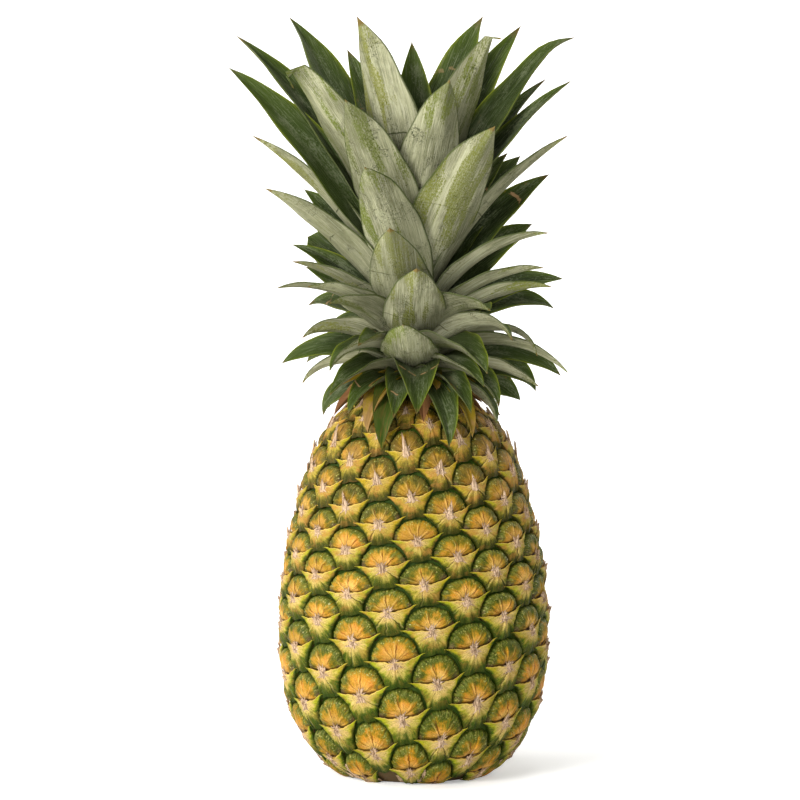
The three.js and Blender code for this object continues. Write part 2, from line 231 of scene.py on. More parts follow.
def ring_faces(count, rings):
    """Faces of rings of points round a first one in their middle."""
    faces = [(0, 1 + k, 1 + (k + 1) % count) for k in range(count)]
    for ring in range(rings - 1):
        low = 1 + ring * count
        for k in range(count):
            n = (k + 1) % count
            faces.append((low + k, low + count + k, low + count + n, low + n))
    return faces


def add_mesh(name, parts, materials, sharp=180):
    """One object from parts, each (points, faces, face materials, attributes), whose edges
    stay sharp over an angle in degrees."""
    points, faces, slots = [], [], []
    attributes = {}
    offset = 0
    for part_points, part_faces, part_slots, part_attributes in parts:
        points.append(part_points)
        faces += [tuple(i + offset for i in face) for face in part_faces]
        slots += part_slots if isinstance(part_slots, list) else [part_slots] * len(part_faces)
        for key, values in part_attributes.items():
            attributes.setdefault(key, []).append(values)
        offset += len(part_points)
    mesh = bpy.data.meshes.new(name)
    mesh.from_pydata((np.concatenate(points) * MM).tolist(), [], faces)
    for key, values in attributes.items():
        layer = mesh.attributes.new(key, "FLOAT_VECTOR", "POINT")
        layer.data.foreach_set("vector", np.concatenate(values).astype(np.float32).ravel())
    for material in materials:
        mesh.materials.append(material)
    mesh.polygons.foreach_set("material_index", slots)
    mesh.shade_smooth()
    mesh.set_sharp_from_angle(angle=math.radians(sharp))
    mesh.validate()
    piece = bpy.data.objects.new(name, mesh)
    bpy.context.scene.collection.objects.link(piece)
    return piece


def dress(piece, node):
    """Puts a piece on its body and hides the imported node it stands for."""
    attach(piece, BODY)
    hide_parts(node)


# The fruit's outline and spiral


def catmull(points, steps):
    """Dense points on a curve through the given ones, uniform Catmull-Rom."""
    p = np.array(points, float)
    out = []
    for k in range(len(p) - 1):
        before = p[max(k - 1, 0)]
        after = p[min(k + 2, len(p) - 1)]
        a, b = p[k], p[k + 1]
        va, vb = (b - before) / 2, (after - a) / 2
        t = np.linspace(0, 1, steps, endpoint=False)[:, None]
        out.append(
            (2 * a - 2 * b + va + vb) * t**3 + (-3 * a + 3 * b - 2 * va - vb) * t**2 + va * t + a
        )
    out.append(p[-1:])
    return np.concatenate(out)


OUTLINE = catmull(FRUIT_OUTLINE, 60)
OUTLINE_ARC = np.concatenate([[0], np.cumsum(np.hypot(*np.diff(OUTLINE, axis=0).T))])
OUTLINE_ALONG = np.gradient(OUTLINE, OUTLINE_ARC, axis=0)
OUTLINE_ALONG /= np.linalg.norm(OUTLINE_ALONG, axis=1)[:, None]


def outline_at(arc):
    """Radius and height of the groove line, and its direction, at places along it."""
    pick = [OUTLINE[:, 0], OUTLINE[:, 1], OUTLINE_ALONG[:, 0], OUTLINE_ALONG[:, 1]]
    return [np.interp(arc, OUTLINE_ARC, values) for values in pick]


def on_fruit(azimuth, arc, height):
    """Points over the groove surface; heights shrink with the fruit's radius."""
    radius, z, along_r, along_z = outline_at(arc)
    rise = height * np.sqrt(radius / FULL_RADIUS)
    reach = radius + rise * along_z
    angle = np.radians(azimuth)
    z = np.clip(z - rise * along_r, 0.05, FRUIT_HEIGHT - 0.05)
    return np.stack([reach * np.cos(angle), reach * np.sin(angle), z], -1)


def turn_of(places):
    """Degrees round the fruit between an eye and another some places on."""
    return (places * EYE_TURN + 180) % 360 - 180


def middle_of(a, b):
    return ((a[0] + b[0]) / 2, (a[1] + b[1]) / 2)


def half_between(a, b):
    return ((a[0] - b[0]) / 2, (a[1] - b[1]) / 2)


def corner_arc(arcs, eye, row):
    """Where three neighbouring cells meet, along the fruit's outline."""
    return (arcs[eye] + arcs[eye + row] + arcs[eye + ROW_UP]) / 3


class Eye:
    """One eye: its cell of the spiral, with u across (wings at -1 and 1) and v up the fruit."""

    def __init__(self, index, azimuth, arcs, k):
        self.index = index
        self.azimuth, self.arc = azimuth, arcs[k]
        third_right = (turn_of(ROW_RIGHT) + turn_of(ROW_UP)) / 3
        third_left = (turn_of(ROW_LEFT) + turn_of(ROW_UP)) / 3
        right_arc = corner_arc(arcs, k - ROW_RIGHT, ROW_RIGHT)
        left_arc = corner_arc(arcs, k - ROW_LEFT, ROW_LEFT)
        right = (third_right - turn_of(ROW_RIGHT), right_arc - self.arc)
        left = (third_left - turn_of(ROW_LEFT), left_arc - self.arc)
        upper_arc, lower_arc = [
            (corner_arc(arcs, at, ROW_RIGHT) + corner_arc(arcs, at, ROW_LEFT)) / 2
            for at in (k, k - ROW_UP)
        ]
        upper = ((third_right + third_left) / 2, upper_arc - self.arc)
        lower = (upper[0] - turn_of(ROW_UP), lower_arc - self.arc)
        self.across, self.across_bow = half_between(right, left), middle_of(right, left)
        self.along, self.along_bow = half_between(upper, lower), middle_of(upper, lower)
        radius, self.height, _, _ = outline_at(self.arc)
        self.half_width = math.radians(self.across[0]) * radius
        self.half_height = self.along[1]

    def random(self, which):
        return scatter(self.index * 3.7 + which * 11.3)

    def points(self, u, v, height):
        u, v = np.asarray(u, float), np.asarray(v, float)
        v = v - (LIP_ROLL * u + LIP_SAG) * np.maximum(0, 1 - u * u) * np.maximum(0, 1 - 3 * v * v)
        azimuth, arc = [
            home + u * across + u * u * across_bow + v * along + v * v * along_bow
            for home, across, across_bow, along, along_bow in zip(
                (self.azimuth, self.arc), self.across, self.across_bow, self.along, self.along_bow
            )
        ]
        return on_fruit(azimuth, arc, height)

    def attributes(self, u, v, near, first, second):
        """Values that the materials read: eye is nearness to the rim, a free value and a
        random number; spot is the place in millimetres; place has two free values and the
        eye's height on the fruit."""
        count = len(u)
        seed = np.full(count, self.index * 7.3)
        return {
            "eye": np.stack([near, second, np.full(count, self.random(0))], -1),
            "spot": np.stack([u * self.half_width, v * self.half_height, seed], -1),
            "place": np.stack([first, second, np.full(count, self.height / FRUIT_HEIGHT)], -1),
        }


def rise_at(arc):
    """How far the next eye of the spiral stands along the outline."""
    heights, rises = zip(*EYE_RISES)
    return np.interp(outline_at(arc)[1], heights, rises)


def fruit_eyes():
    """All eyes along the spiral from the base to the crown, set out from the front one."""
    arcs = [FRONT_EYE_ARC]
    while arcs[0] - rise_at(arcs[0]) > 0:
        arcs.insert(0, arcs[0] - rise_at(arcs[0]))
    front = len(arcs) - 1
    while arcs[-1] + rise_at(arcs[-1]) < OUTLINE_ARC[-1]:
        arcs.append(arcs[-1] + rise_at(arcs[-1]))
    eyes = []
    for k in range(ROW_UP, len(arcs) - ROW_UP):
        radius, height, _, _ = outline_at(arcs[k])
        under_crown = height > HALF_HEIGHT and radius < LAST_EYE_RADIUS
        if height > FIRST_EYE_HEIGHT and not under_crown:
            eyes.append(Eye(k - front, FRONT_EYE_AZIMUTH + (k - front) * EYE_TURN, arcs, k))
    return eyes


def fruit_halves():
    """The eyes of the lower and of the upper piece."""
    eyes = fruit_eyes()
    return {
        "lower": [eye for eye in eyes if eye.height < HALF_HEIGHT],
        "upper": [eye for eye in eyes if eye.height >= HALF_HEIGHT],
    }


# Domes of the eyes

DOME_RINGS = np.array([0, 0.1, 0.22, 0.35, 0.47, 0.58, 0.68, 0.76, 0.83, 0.89, 0.945, 1.0])
DOME_PROFILE = np.array([0.5, 0.7, 0.86, 0.97, 1.0, 0.99, 0.95, 0.89, 0.8, 0.66, 0.42, -0.2])
DOME_UPPER = 70
DOME_LOWER = 8
DOME_SQUARE = 2.15
DOME_FOLDS = 36  # twice the number of ridges over the dome


def waves(angle, count, seed):
    """Uneven waves round a centre, from -1 to 1."""
    drift = 1.3 * np.sin(angle * 3 + seed) + 0.8 * np.sin(angle * 7 + seed * 1.7)
    return np.sin(angle * count + drift + seed * 2.3)


def crease(angle, at, width):
    """A groove's profile round one direction."""
    return np.exp(-(((angle - at) / width) ** 2))


def dome_part(eye, rind):
    """The ridged dome of an eye."""
    upper = np.linspace(0, math.pi, DOME_UPPER, endpoint=False)
    lower = np.linspace(math.pi, 2 * math.pi, DOME_LOWER, endpoint=False)
    angles = np.concatenate([upper, lower])
    count = len(angles)
    power = 2 / DOME_SQUARE
    rim_u = 0.97 * np.sign(np.cos(angles)) * np.abs(np.cos(angles)) ** power
    rim_v = np.where(np.sin(angles) > 0, 0.91, 0.3) * np.sign(np.sin(angles))
    rim_v = rim_v * np.abs(np.sin(angles)) ** power
    outline = 1 + 0.025 * waves(angles, 5, eye.random(1) * 6)
    outline = outline + 0.012 * waves(angles, 31, eye.random(2) * 6)
    rings = len(DOME_RINGS) - 1
    near = np.concatenate([[0], np.repeat(DOME_RINGS[1:], count)])
    angle = np.concatenate([[0], np.tile(angles, rings)])
    folds = waves(angle, DOME_FOLDS, eye.random(2) * 6) * (angle < math.pi)
    folds *= 0.55 + 0.45 * waves(angle, 13, eye.random(3) * 6)
    folds *= 0.6 + 0.4 * np.sin(near * 26 + angle * 9 + eye.index)
    band = smooth(0.55, 0.85, near + 0.09 * waves(angle, 9, eye.random(4) * 6))
    folds = folds * band
    u = np.concatenate([[0], np.tile(rim_u * outline, rings)])
    v = np.concatenate([[0], np.tile(rim_v * outline, rings)])
    reach = near * (1 + 0.02 * folds)
    u, v = u * reach, v * reach + 0.02 * (1 - near)

    height = np.interp(near, DOME_RINGS, DOME_PROFILE) * (rind.dome_height / MM)
    height *= 0.88 + 0.24 * eye.random(5)
    height *= 0.4 + 0.6 * smooth(-0.06, 0.3, v)
    height += 0.2 * np.sin(u * 6 + eye.index) * np.sin(v * 7 + eye.index * 2.1) * smooth(1, 0.6, near)
    height += rind.ridge_depth / MM * folds * smooth(1.02, 0.93, near)
    for k, middle in enumerate((0.5, 0.16, 0.84)):
        at = math.pi * (middle + 0.2 * (eye.random(6 + k) - 0.5))
        inner = smooth(0.02, 0.2, near) * smooth(0.85, 0.55, near)
        side = 0.13 if eye.random(9 + k) > 0.5 else -0.13
        height -= 0.4 * crease(angle, at, 0.07) * inner
        height += 0.3 * crease(angle, at + side, 0.11) * inner
    attributes = eye.attributes(u, v, near, 0.5 + 0.5 * folds, np.zeros(len(u)))
    return eye.points(u, v, height), ring_faces(count, rings), 0, attributes


# Bracts

BRACT_COLUMNS = 41
BRACT_ROWS = 13
WING = (1.17, 0.1)
FOOT = (0.49, -1.05)
FOOT_SHARE = 0.4
# Its folds below the navel, as [half turns clockwise, what chance adds, width of the dark line of
# painted shade]
BRACT_FOLDS = [(0.22, 0.22, 0.016), (0.86, -0.2, 0.013), (0.5, 0.14, 0.01)]


def bract_side(t):
    """From the foot's corner up to the wing's tip, hollow towards the neighbouring dome."""
    a, b, c, d = np.array(FOOT), np.array((0.56, -0.55)), np.array((0.7, -0.2)), np.array(WING)
    t = np.asarray(t)[:, None]
    return (1 - t) ** 3 * a + 3 * (1 - t) ** 2 * t * b + 3 * (1 - t) * t**2 * c + t**3 * d


def bract_height(rind, away, down):
    """Height over the grooves, from the lip at the top to the foot."""
    lip = rind.lip_height / MM * (1 - 0.5 * away**1.3)
    foot = np.interp(away, [0, FOOT_SHARE, 1], [1.5, 1.1, 1.4])
    return lip * (1 - down) + foot * down + 0.8 * np.sin(math.pi * down) * (1 - away**2)


def bract_part(eye, rind):
    """The winged bract under a dome, with a skirt down into the groove."""
    p = np.linspace(-0.985, 0.985, BRACT_COLUMNS)
    q = np.linspace(0, 1, BRACT_ROWS) ** 1.1
    far = np.abs(p)
    wave = 0.03 * np.sin(p * 13 + eye.index * 1.9) + 0.018 * np.sin(p * 37 + eye.index)
    top = np.stack([WING[0] * p, WING[1] * far**2.2 + wave * (1 - far)], -1)
    side = bract_side(np.clip((far - FOOT_SHARE) / (1 - FOOT_SHARE), 0, 1))
    foot_u = FOOT[0] * np.clip(far / FOOT_SHARE, 0, 1)
    lobes = 0.06 * np.abs(np.sin(p / FOOT_SHARE * math.pi * 0.75 + eye.random(3) * 3))
    foot_v = FOOT[1] + 0.04 - lobes
    on_foot = far < FOOT_SHARE
    bottom_u = np.where(on_foot, foot_u, side[:, 0]) * np.sign(p)
    bottom_v = np.where(on_foot, foot_v, side[:, 1] + 0.02 * np.sin(far * 30 + eye.index))
    reach = 1 + 0.08 * (eye.random(4) - 0.5)
    grid_p, grid_q = np.meshgrid(p, q)
    u = (top[:, 0] * (1 - grid_q) + bottom_u * grid_q).ravel() * reach
    v = (top[:, 1] * (1 - grid_q) + bottom_v * grid_q).ravel()
    gp, gq = grid_p.ravel(), grid_q.ravel()
    away = np.abs(gp)
    angle = np.arctan2(v, u)
    distance = np.hypot(u, v)
    height = bract_height(rind, away, gq)
    streaks = waves(angle, 17, eye.random(5) * 6) * smooth(0, 0.35, distance)
    height += 0.22 * streaks * (1 - away * 0.5)
    height += 0.1 * waves(angle, 43, eye.random(6) * 6) * smooth(0, 0.3, distance)
    for turn, spread, _ in BRACT_FOLDS:
        at = -math.pi * (turn + spread * eye.random(0))
        inner = smooth(0.08, 0.4, distance)
        height -= 0.45 * crease(angle, at, 0.06) * inner
        height += 0.4 * crease(angle, at + 0.14, 0.13) * inner
    height += 0.5 * smooth(0.75, 1, away) * (eye.random(7) + 0.2)
    columns, rows = BRACT_COLUMNS, BRACT_ROWS
    faces = [face[::-1] for face in grid_faces(columns, rows)]
    loop = list(range(columns))
    loop += [r * columns + columns - 1 for r in range(1, rows)]
    loop += [(rows - 1) * columns + c for c in range(columns - 2, -1, -1)]
    loop += [r * columns for r in range(rows - 2, 0, -1)]
    start = len(u)
    count = len(loop)
    on_top = np.arange(count) < columns
    skirt_u = np.where(on_top, u[loop], u[loop] * 0.97)
    skirt_v = np.where(on_top, v[loop] - 0.06, v[loop] * 0.97)
    skirt_h = np.where(on_top, height[loop] - 1.9, -0.6)
    for k in range(count):
        n = (k + 1) % count
        faces.append((loop[k], loop[n], start + n, start + k))
    u, v = np.concatenate([u, skirt_u]), np.concatenate([v, skirt_v])
    height = np.concatenate([height, skirt_h])
    gq, gp = np.concatenate([gq, gq[loop]]), np.concatenate([gp, gp[loop]])
    attributes = eye.attributes(u, v, np.hypot(u, v), gq, gp)
    return eye.points(u, v, height), faces, 0, attributes


# Dried tips


BLADE_SECTION = ((-1, 0.05), (-0.5, 0.75), (0, 0.45), (0.5, 0.75), (1, 0.05), (0, -0.5))


def blade(eye, start, end, width, low, high, bend, steps=6):
    """A thin folded scrap from start to end in the cell, rising from low to high."""
    start, end = np.array(start), np.array(end)
    direction = (end - start) / np.linalg.norm(end - start)
    side = np.array([-direction[1], direction[0]])
    fold = 2.2 * width
    around = len(BLADE_SECTION)
    u, v, height, along = [], [], [], []
    for k in range(steps):
        t = k / steps
        at = start + (end - start) * t + side * bend * math.sin(math.pi * t)
        half = width / 2 * (1 - t) ** 0.75 * (0.8 + 0.4 * scatter(eye.index + k * 3.3 + width))
        level = low + (high - low) * t**1.4
        for across, over in BLADE_SECTION:
            u.append(at[0] + side[0] * half * across)
            v.append(at[1] + side[1] * half * across)
            height.append(level + over * (fold if over > 0 else 1))
            along.append(t)
    u.append(end[0])
    v.append(end[1])
    height.append(high)
    along.append(1.0)
    tip = steps * around
    faces = [tuple(range(around))[::-1]]
    for k in range(steps):
        for j in range(around):
            a, b = k * around + j, k * around + (j + 1) % around
            faces.append((a, b, tip) if k == steps - 1 else (a, b, b + around, a + around))
    u, v, along = np.array(u), np.array(v), np.array(along)
    attributes = eye.attributes(u, v, along, along, np.zeros(len(u)))
    return eye.points(u, v, np.array(height)), [face[::-1] for face in faces], 0, attributes


def crumple_part(eye, size):
    """The crumpled dry patch in the middle of an eye."""
    around, rings = 18, 4
    angle = np.linspace(0, 2 * math.pi, around, endpoint=False)
    u, v, height, near = [0.0], [-0.1], [3.5], [0.0]
    for ring in range(1, rings + 1):
        share = ring / rings
        rough = 1 + 0.25 * waves(angle, 6, eye.random(10) * 6)
        u += list(size * share * rough * np.cos(angle))
        v += list(-0.1 + 0.95 * size * share * rough * np.sin(angle))
        lumps = waves(angle, 5 + 2 * ring, eye.random(11) * 6 + ring)
        height += list(3.9 - 1.4 * share**2 + 0.4 * lumps * (share < 1))
        near += [share] * around
    u, v, near = np.array(u), np.array(v), np.array(near)
    attributes = eye.attributes(u, v, near * 0.5, near, np.zeros(len(u)))
    return eye.points(u, v, np.array(height)), ring_faces(around, rings), 0, attributes


def base_scraps(eye):
    """Dried bracts that hang down round the foot of the fruit."""
    parts = []
    for k in range(5):
        turn = 0.34 * (k - 2) + 0.2 * (eye.random(70 + k) - 0.5)
        start = (turn, -0.15 - 0.35 * eye.random(76 + k))
        end = (turn * 1.25 + 0.2 * (eye.random(82 + k) - 0.5), -1.3 - 0.5 * eye.random(88 + k))
        lift = 1.2 + 2.2 * eye.random(94 + k)
        points, *rest = blade(eye, start, end, 0.3 + 0.15 * eye.random(60 + k), 1.6, lift, 0.1, 6)
        low = points[:, 2] < 2
        points[low, 2] = 0.1 + 1.9 * np.exp((points[low, 2] - 2) / 1.9)
        parts.append((points, *rest))
    return parts


def tip_parts(eye, rind):
    """A bract's dried tip, with short scraps round it and a crumpled patch."""
    upper = float(smooth(90, 160, eye.height))
    length = (rind.short_tip + (rind.long_tip - rind.short_tip) * upper) / MM
    length *= 0.6 + 0.8 * eye.random(12)
    lean = 0.7 * (eye.random(13) - 0.5)
    end_v = length * 0.85 / eye.half_height - 0.25
    rise = 3.4 + length * 0.25
    parts = [
        crumple_part(eye, 0.14 + 0.11 * eye.random(14)),
        blade(eye, (0, -0.28), (lean * end_v, end_v), 0.3 + 0.12 * upper, 3.0, rise, 0.08 * lean),
    ]
    for k in range(7):
        angle = math.pi * (0.08 + 0.14 * k + 0.1 * (eye.random(15 + k) - 0.5))
        reach = 0.17 + 0.17 * eye.random(24 + k)
        end = (reach * math.cos(angle), 0.02 + reach * math.sin(angle))
        lift = 3.1 + 1.1 * eye.random(34 + k)
        parts.append(blade(eye, (0.025 * (k - 3), -0.1), end, 0.11, 2.8, lift, 0.03, 3))
    for k in range(3):
        angle = -math.pi * (0.25 + 0.25 * k + 0.15 * (eye.random(44 + k) - 0.5))
        reach = 0.3 + 0.25 * eye.random(50 + k)
        end = (reach * math.cos(angle), reach * math.sin(angle))
        parts.append(blade(eye, (0.03 * (k - 1), -0.12), end, 0.12, 3.5, 3.2, 0.03, 4))
    if eye.height < 15:
        parts += base_scraps(eye)
    return parts


# Skin between the eyes

SKIN_COLUMNS = 181
SKIN_ROWS = 90
SKIN_LEVEL = -0.35
HOLLOW_STEPS = [(0, 2.4), (13.6, 2.4), (18, 1.6), (23, 0.12), (27, 0.06)]  # radius and height


def skin_parts():
    """The skin in the grooves, closed by the hollow base and under the crown."""
    columns = SKIN_COLUMNS
    arc_low = np.interp(0, OUTLINE[60:, 1], OUTLINE_ARC[60:])
    arc_high = np.interp(FRUIT_HEIGHT, OUTLINE[:, 1], OUTLINE_ARC)
    azimuth = np.linspace(0, 360, columns)
    angle = np.radians(azimuth)
    rows = []
    sides = []
    for radius, z in HOLLOW_STEPS:
        rough = 1 + 0.01 * np.sin(angle * 13 + radius) * (radius > 14)
        rows.append(level_ring(radius * rough, angle, z))
        sides.append(0.0)
    for arc in np.linspace(arc_low, arc_high, SKIN_ROWS):
        rows.append(on_fruit(azimuth, np.full(columns, arc), SKIN_LEVEL))
        sides.append(1.0)
    top = rows[-1][0, 0]
    for share in (0.85, 0.5, 0.0):
        rows.append(level_ring(top * share, angle, FRUIT_HEIGHT - 0.05))
        sides.append(1.0)
    points = np.concatenate(rows)
    side = np.repeat(sides, columns)
    count = len(points)
    attributes = {
        "eye": np.stack([np.ones(count), np.zeros(count), np.full(count, 0.5)], -1),
        "spot": points.copy(),
        "place": np.stack([side, np.zeros(count), points[:, 2] / FRUIT_HEIGHT], -1),
    }
    return [(points, grid_faces(columns, len(rows)), 0, attributes)]


# Cut stem


def stem_part():
    """The stump, with its rough cut end and the side that goes up into the fruit."""
    columns = 65
    angle = np.radians(np.linspace(0, 360, columns))
    rows, far = [], []
    for share in np.linspace(0, 0.96, 14):
        rough = 0.12 + 0.1 * np.sin(angle * 9 + share * 30) * np.sin(share * 40)
        radius = STEM_RADIUS * share
        rows.append(np.stack([radius * np.cos(angle), radius * np.sin(angle), rough * share], -1))
        far.append(share)
    for z in (0.6, 6, 14, STEM_DEPTH):
        rows.append(level_ring(STEM_RADIUS * (1 - 0.008 * np.sin(angle * 21 + z) ** 2), angle, z))
        far.append(1.0)
    rows.append(level_ring(0, angle, STEM_DEPTH))
    far.append(1.0)
    points = np.concatenate(rows)
    far = np.repeat(far, columns)
    attributes = {"eye": np.stack([far, 0 * far, 0 * far], -1), "spot": points.copy()}
    return points, grid_faces(columns, len(rows)), 0, attributes


# Leaves

LEAF_STEPS = 30
LEAF_COLUMNS = 13
WIDE_LEAF = 25  # leaves from this width on keep it further towards the tip
SLIM_SHARE = 0.24  # the leaves far out at the sides are narrower by this share
LOW_CURL = (0.78, 38)  # share of the length where a low leaf's curl starts, and most degrees
# The tables below name a leaf by its tip's x and y
CURLED_LEAVES = {  # share of the length where the curl starts, and degrees
    (-60, -20): (0.94, 170), (37, -10): (0.96, 70), (-50, 12): (0.6, 175),
    (46, -34): (0.8, 50), (60, -10): (0.72, 60), (72, 22): (0.9, 25),
}
RUBBED_LEAVES = {  # how far the bloom is rubbed off
    (36, -40): 2.4, (-22, -48): 1.1, (37, -10): 1.6, (1, -54): 1.5,
}
BROKEN_LEAVES = {(-49, 18)}  # these end blunt, without a point
# Small leaves at the neck, as the tall, middle and low ones, then how far each has dried
NECK_LEAVES = [
    (-15, -43, 154, 179, 19, 50, -0.1), (-21, -38, 161, 179, 17, 50, 0.42),
    (26, -41, 159, 179, 17, 50, 0.2), (4, -41, 165, 178, 15, 44, 1.0),
    (38, -22, 166, 178, 14, 40, 0.9), (-36, -20, 167, 178, 14, 40, 1.1),
]
# Rings of them, as [count, seed, turn, reach, height, root height, width, bow, dried], where a
# pair is the least and what a draw adds
NECK_RINGS = [
    (15, 900, 24, (31, 5), (173, 7), 178, (14, 3), 40, (0, 0.5)),
    (13, 1900, 27.7, (31, 4), (167, 5), 176, (9, 4), 34, (0.9, 0.5)),
]


def back_leaves():
    """The leaves behind, in whorls, each nudged a little."""
    leaves = []
    seed = BACK_SEED
    for count, reach, height, root, width, bow in BACK_WHORLS:
        for k in range(count):
            nudge = [(2 * scatter(seed + n) - 1) * BACK_SCATTER for n in range(3)]
            seed += 3
            azimuth = BACK_FROM + (k + 0.5) / count * (BACK_TO - BACK_FROM) + nudge[0]
            far = reach + nudge[1]
            angle = math.radians(azimuth)
            tip = (far * math.cos(angle), far * math.sin(angle), height + nudge[2])
            leaves.append((*tip, root, width, bow))
    return leaves


def neck_leaves():
    """Short leaves and dried scales all round, where the crown leaves the fruit."""
    leaves = list(NECK_LEAVES)
    for count, seed, turn, reach, height, root, width, bow, dried in NECK_RINGS:
        for k in range(count):
            rand = [scatter(seed + k * 4.3 + n) for n in range(5)]
            angle = math.radians(k * turn + 14 * rand[0])
            far, z, wide, age = [
                least + more * chance
                for (least, more), chance in zip((reach, height, width, dried), rand[1:])
            ]
            leaves.append((far * math.cos(angle), far * math.sin(angle), z, root, wide, bow, age))
    return leaves


def leaf_blade(width, broken, low, t):
    """Half the width of a leaf along it."""
    taper = 14 if broken else 2.3 if low else 4.2 if width >= WIDE_LEAF else 3.7
    return width * 0.53 * np.minimum(1, 0.68 + 0.9 * t) * (1 - t**taper)


def curl_spine(spine, along, t, start, degrees):
    """Bends the end of a leaf's spine downwards from a share of its length on."""
    spine, along = spine.copy(), along.copy()
    first = int(np.searchsorted(t, start))
    for k in range(max(first, 1), len(t)):
        step = np.linalg.norm(spine[k] - spine[k - 1]) if k == first else step
        turn = -math.radians(degrees) / (len(t) - first)
        before = along[k - 1]
        along[k] = (
            before[0] * math.cos(turn) - before[1] * math.sin(turn),
            before[0] * math.sin(turn) + before[1] * math.cos(turn),
        )
        spine[k] = spine[k - 1] + along[k] * step
    return spine, along


def leaf_spine(leaf, t):
    """Points and directions along a leaf's middle, as reach and height, and its length."""
    x, y, z, root, _, bow = leaf
    reach = math.hypot(x, y)
    chord = math.atan2(z - root, reach - LEAF_ROOT_REACH)
    length = math.hypot(z - root, reach - LEAF_ROOT_REACH)
    lean = math.radians(bow)
    a = np.array([LEAF_ROOT_REACH, root])
    d = np.array([reach, z])
    b = a + length * LEAF_HANDLE * np.array([math.cos(chord + lean), math.sin(chord + lean)])
    c = d - length * LEAF_HANDLE * np.array([math.cos(chord - lean), math.sin(chord - lean)])
    s = t[:, None]
    spine = (1 - s) ** 3 * a + 3 * (1 - s) ** 2 * s * b + 3 * (1 - s) * s**2 * c + s**3 * d
    along = 3 * (1 - s) ** 2 * (b - a) + 6 * (1 - s) * s * (c - b) + 3 * s**2 * (d - c)
    along /= np.linalg.norm(along, axis=1)[:, None]
    return spine, along, length


def leaf_twist(x, y, z, t):
    """How far a leaf turns about its middle: the front ones show their undersides and the ones
    behind their upper faces, more so out at the sides."""
    azimuth = math.atan2(y, x)
    aside = azimuth + math.pi / 2 if y < 5 else azimuth - math.pi / 2
    behind = 0.36 + 0.4 * float(smooth(35, 55, abs(x)))
    share = behind if y >= 5 and z < 300 else 0.36 if y >= 5 else 0.5 if z > 200 else 0.12
    share -= 0.24 * float(smooth(40, 58, abs(x))) if y < 5 and 200 < z < 300 else 0
    share = share * smooth(0.05, 0.4, t) if abs(x) > 5 else 0
    return share * math.remainder(aside, math.tau)


def leaf_relief(crown, width, half, low, t, columns, phase):
    """Heights over a leaf's middle: its channel and waved edges, and half its thickness."""
    near_edge = np.abs(columns)
    narrow = np.minimum(1, half / 6)[:, None]
    thick = (crown.leaf_thickness + (crown.edge_thickness - crown.leaf_thickness) * near_edge**2) / MM
    thick = thick[None, :] * (0.35 + 0.65 * np.minimum(1, half / 5))[:, None]
    deep = crown.channel * (1.5 if low else 1.1 - 0.3 * t) + 0.14 * smooth(0.7, 1, t)
    keel = 1.25 - 0.25 * t if low else 1.6 - 0.6 * t
    cup = (2 * half * deep)[:, None] * near_edge[None, :] ** keel[:, None]
    wave = 0.02 * width * np.sin(t * 23 + phase)[:, None] * near_edge**3
    wave = wave * np.sign(columns) * narrow
    rib = 0.05 * np.cos(columns * 26)[None, :] * narrow
    return cup + wave, thick / 2 + rib


def leaf_faces(slots):
    """Faces of a blade's upper and under side, its two edges, its tip and its root."""
    size = LEAF_STEPS * LEAF_COLUMNS
    upper, under = slots
    faces, materials = [], []
    for face in grid_faces(LEAF_COLUMNS, LEAF_STEPS):
        faces += [face, tuple(i + size for i in face[::-1])]
        materials += [upper, under]
    last = LEAF_COLUMNS - 1
    for k in range(LEAF_STEPS - 1):
        r, n = k * LEAF_COLUMNS, (k + 1) * LEAF_COLUMNS
        faces.append((r, n, n + size, r + size))
        faces.append((r + last, r + last + size, n + last + size, n + last))
        materials += [under] * 2
    tip = 2 * size
    end = (LEAF_STEPS - 1) * LEAF_COLUMNS
    for k in range(last):
        faces += [(end + k, end + k + 1, tip), (end + k + 1 + size, end + k + size, tip)]
        faces += [(k + 1, k, k + size, k + 1 + size)]
        materials += [upper, under, under]
    faces += [(end + size, end, tip), (end + last, end + last + size, tip)]
    materials += [under] * 2
    return faces, materials


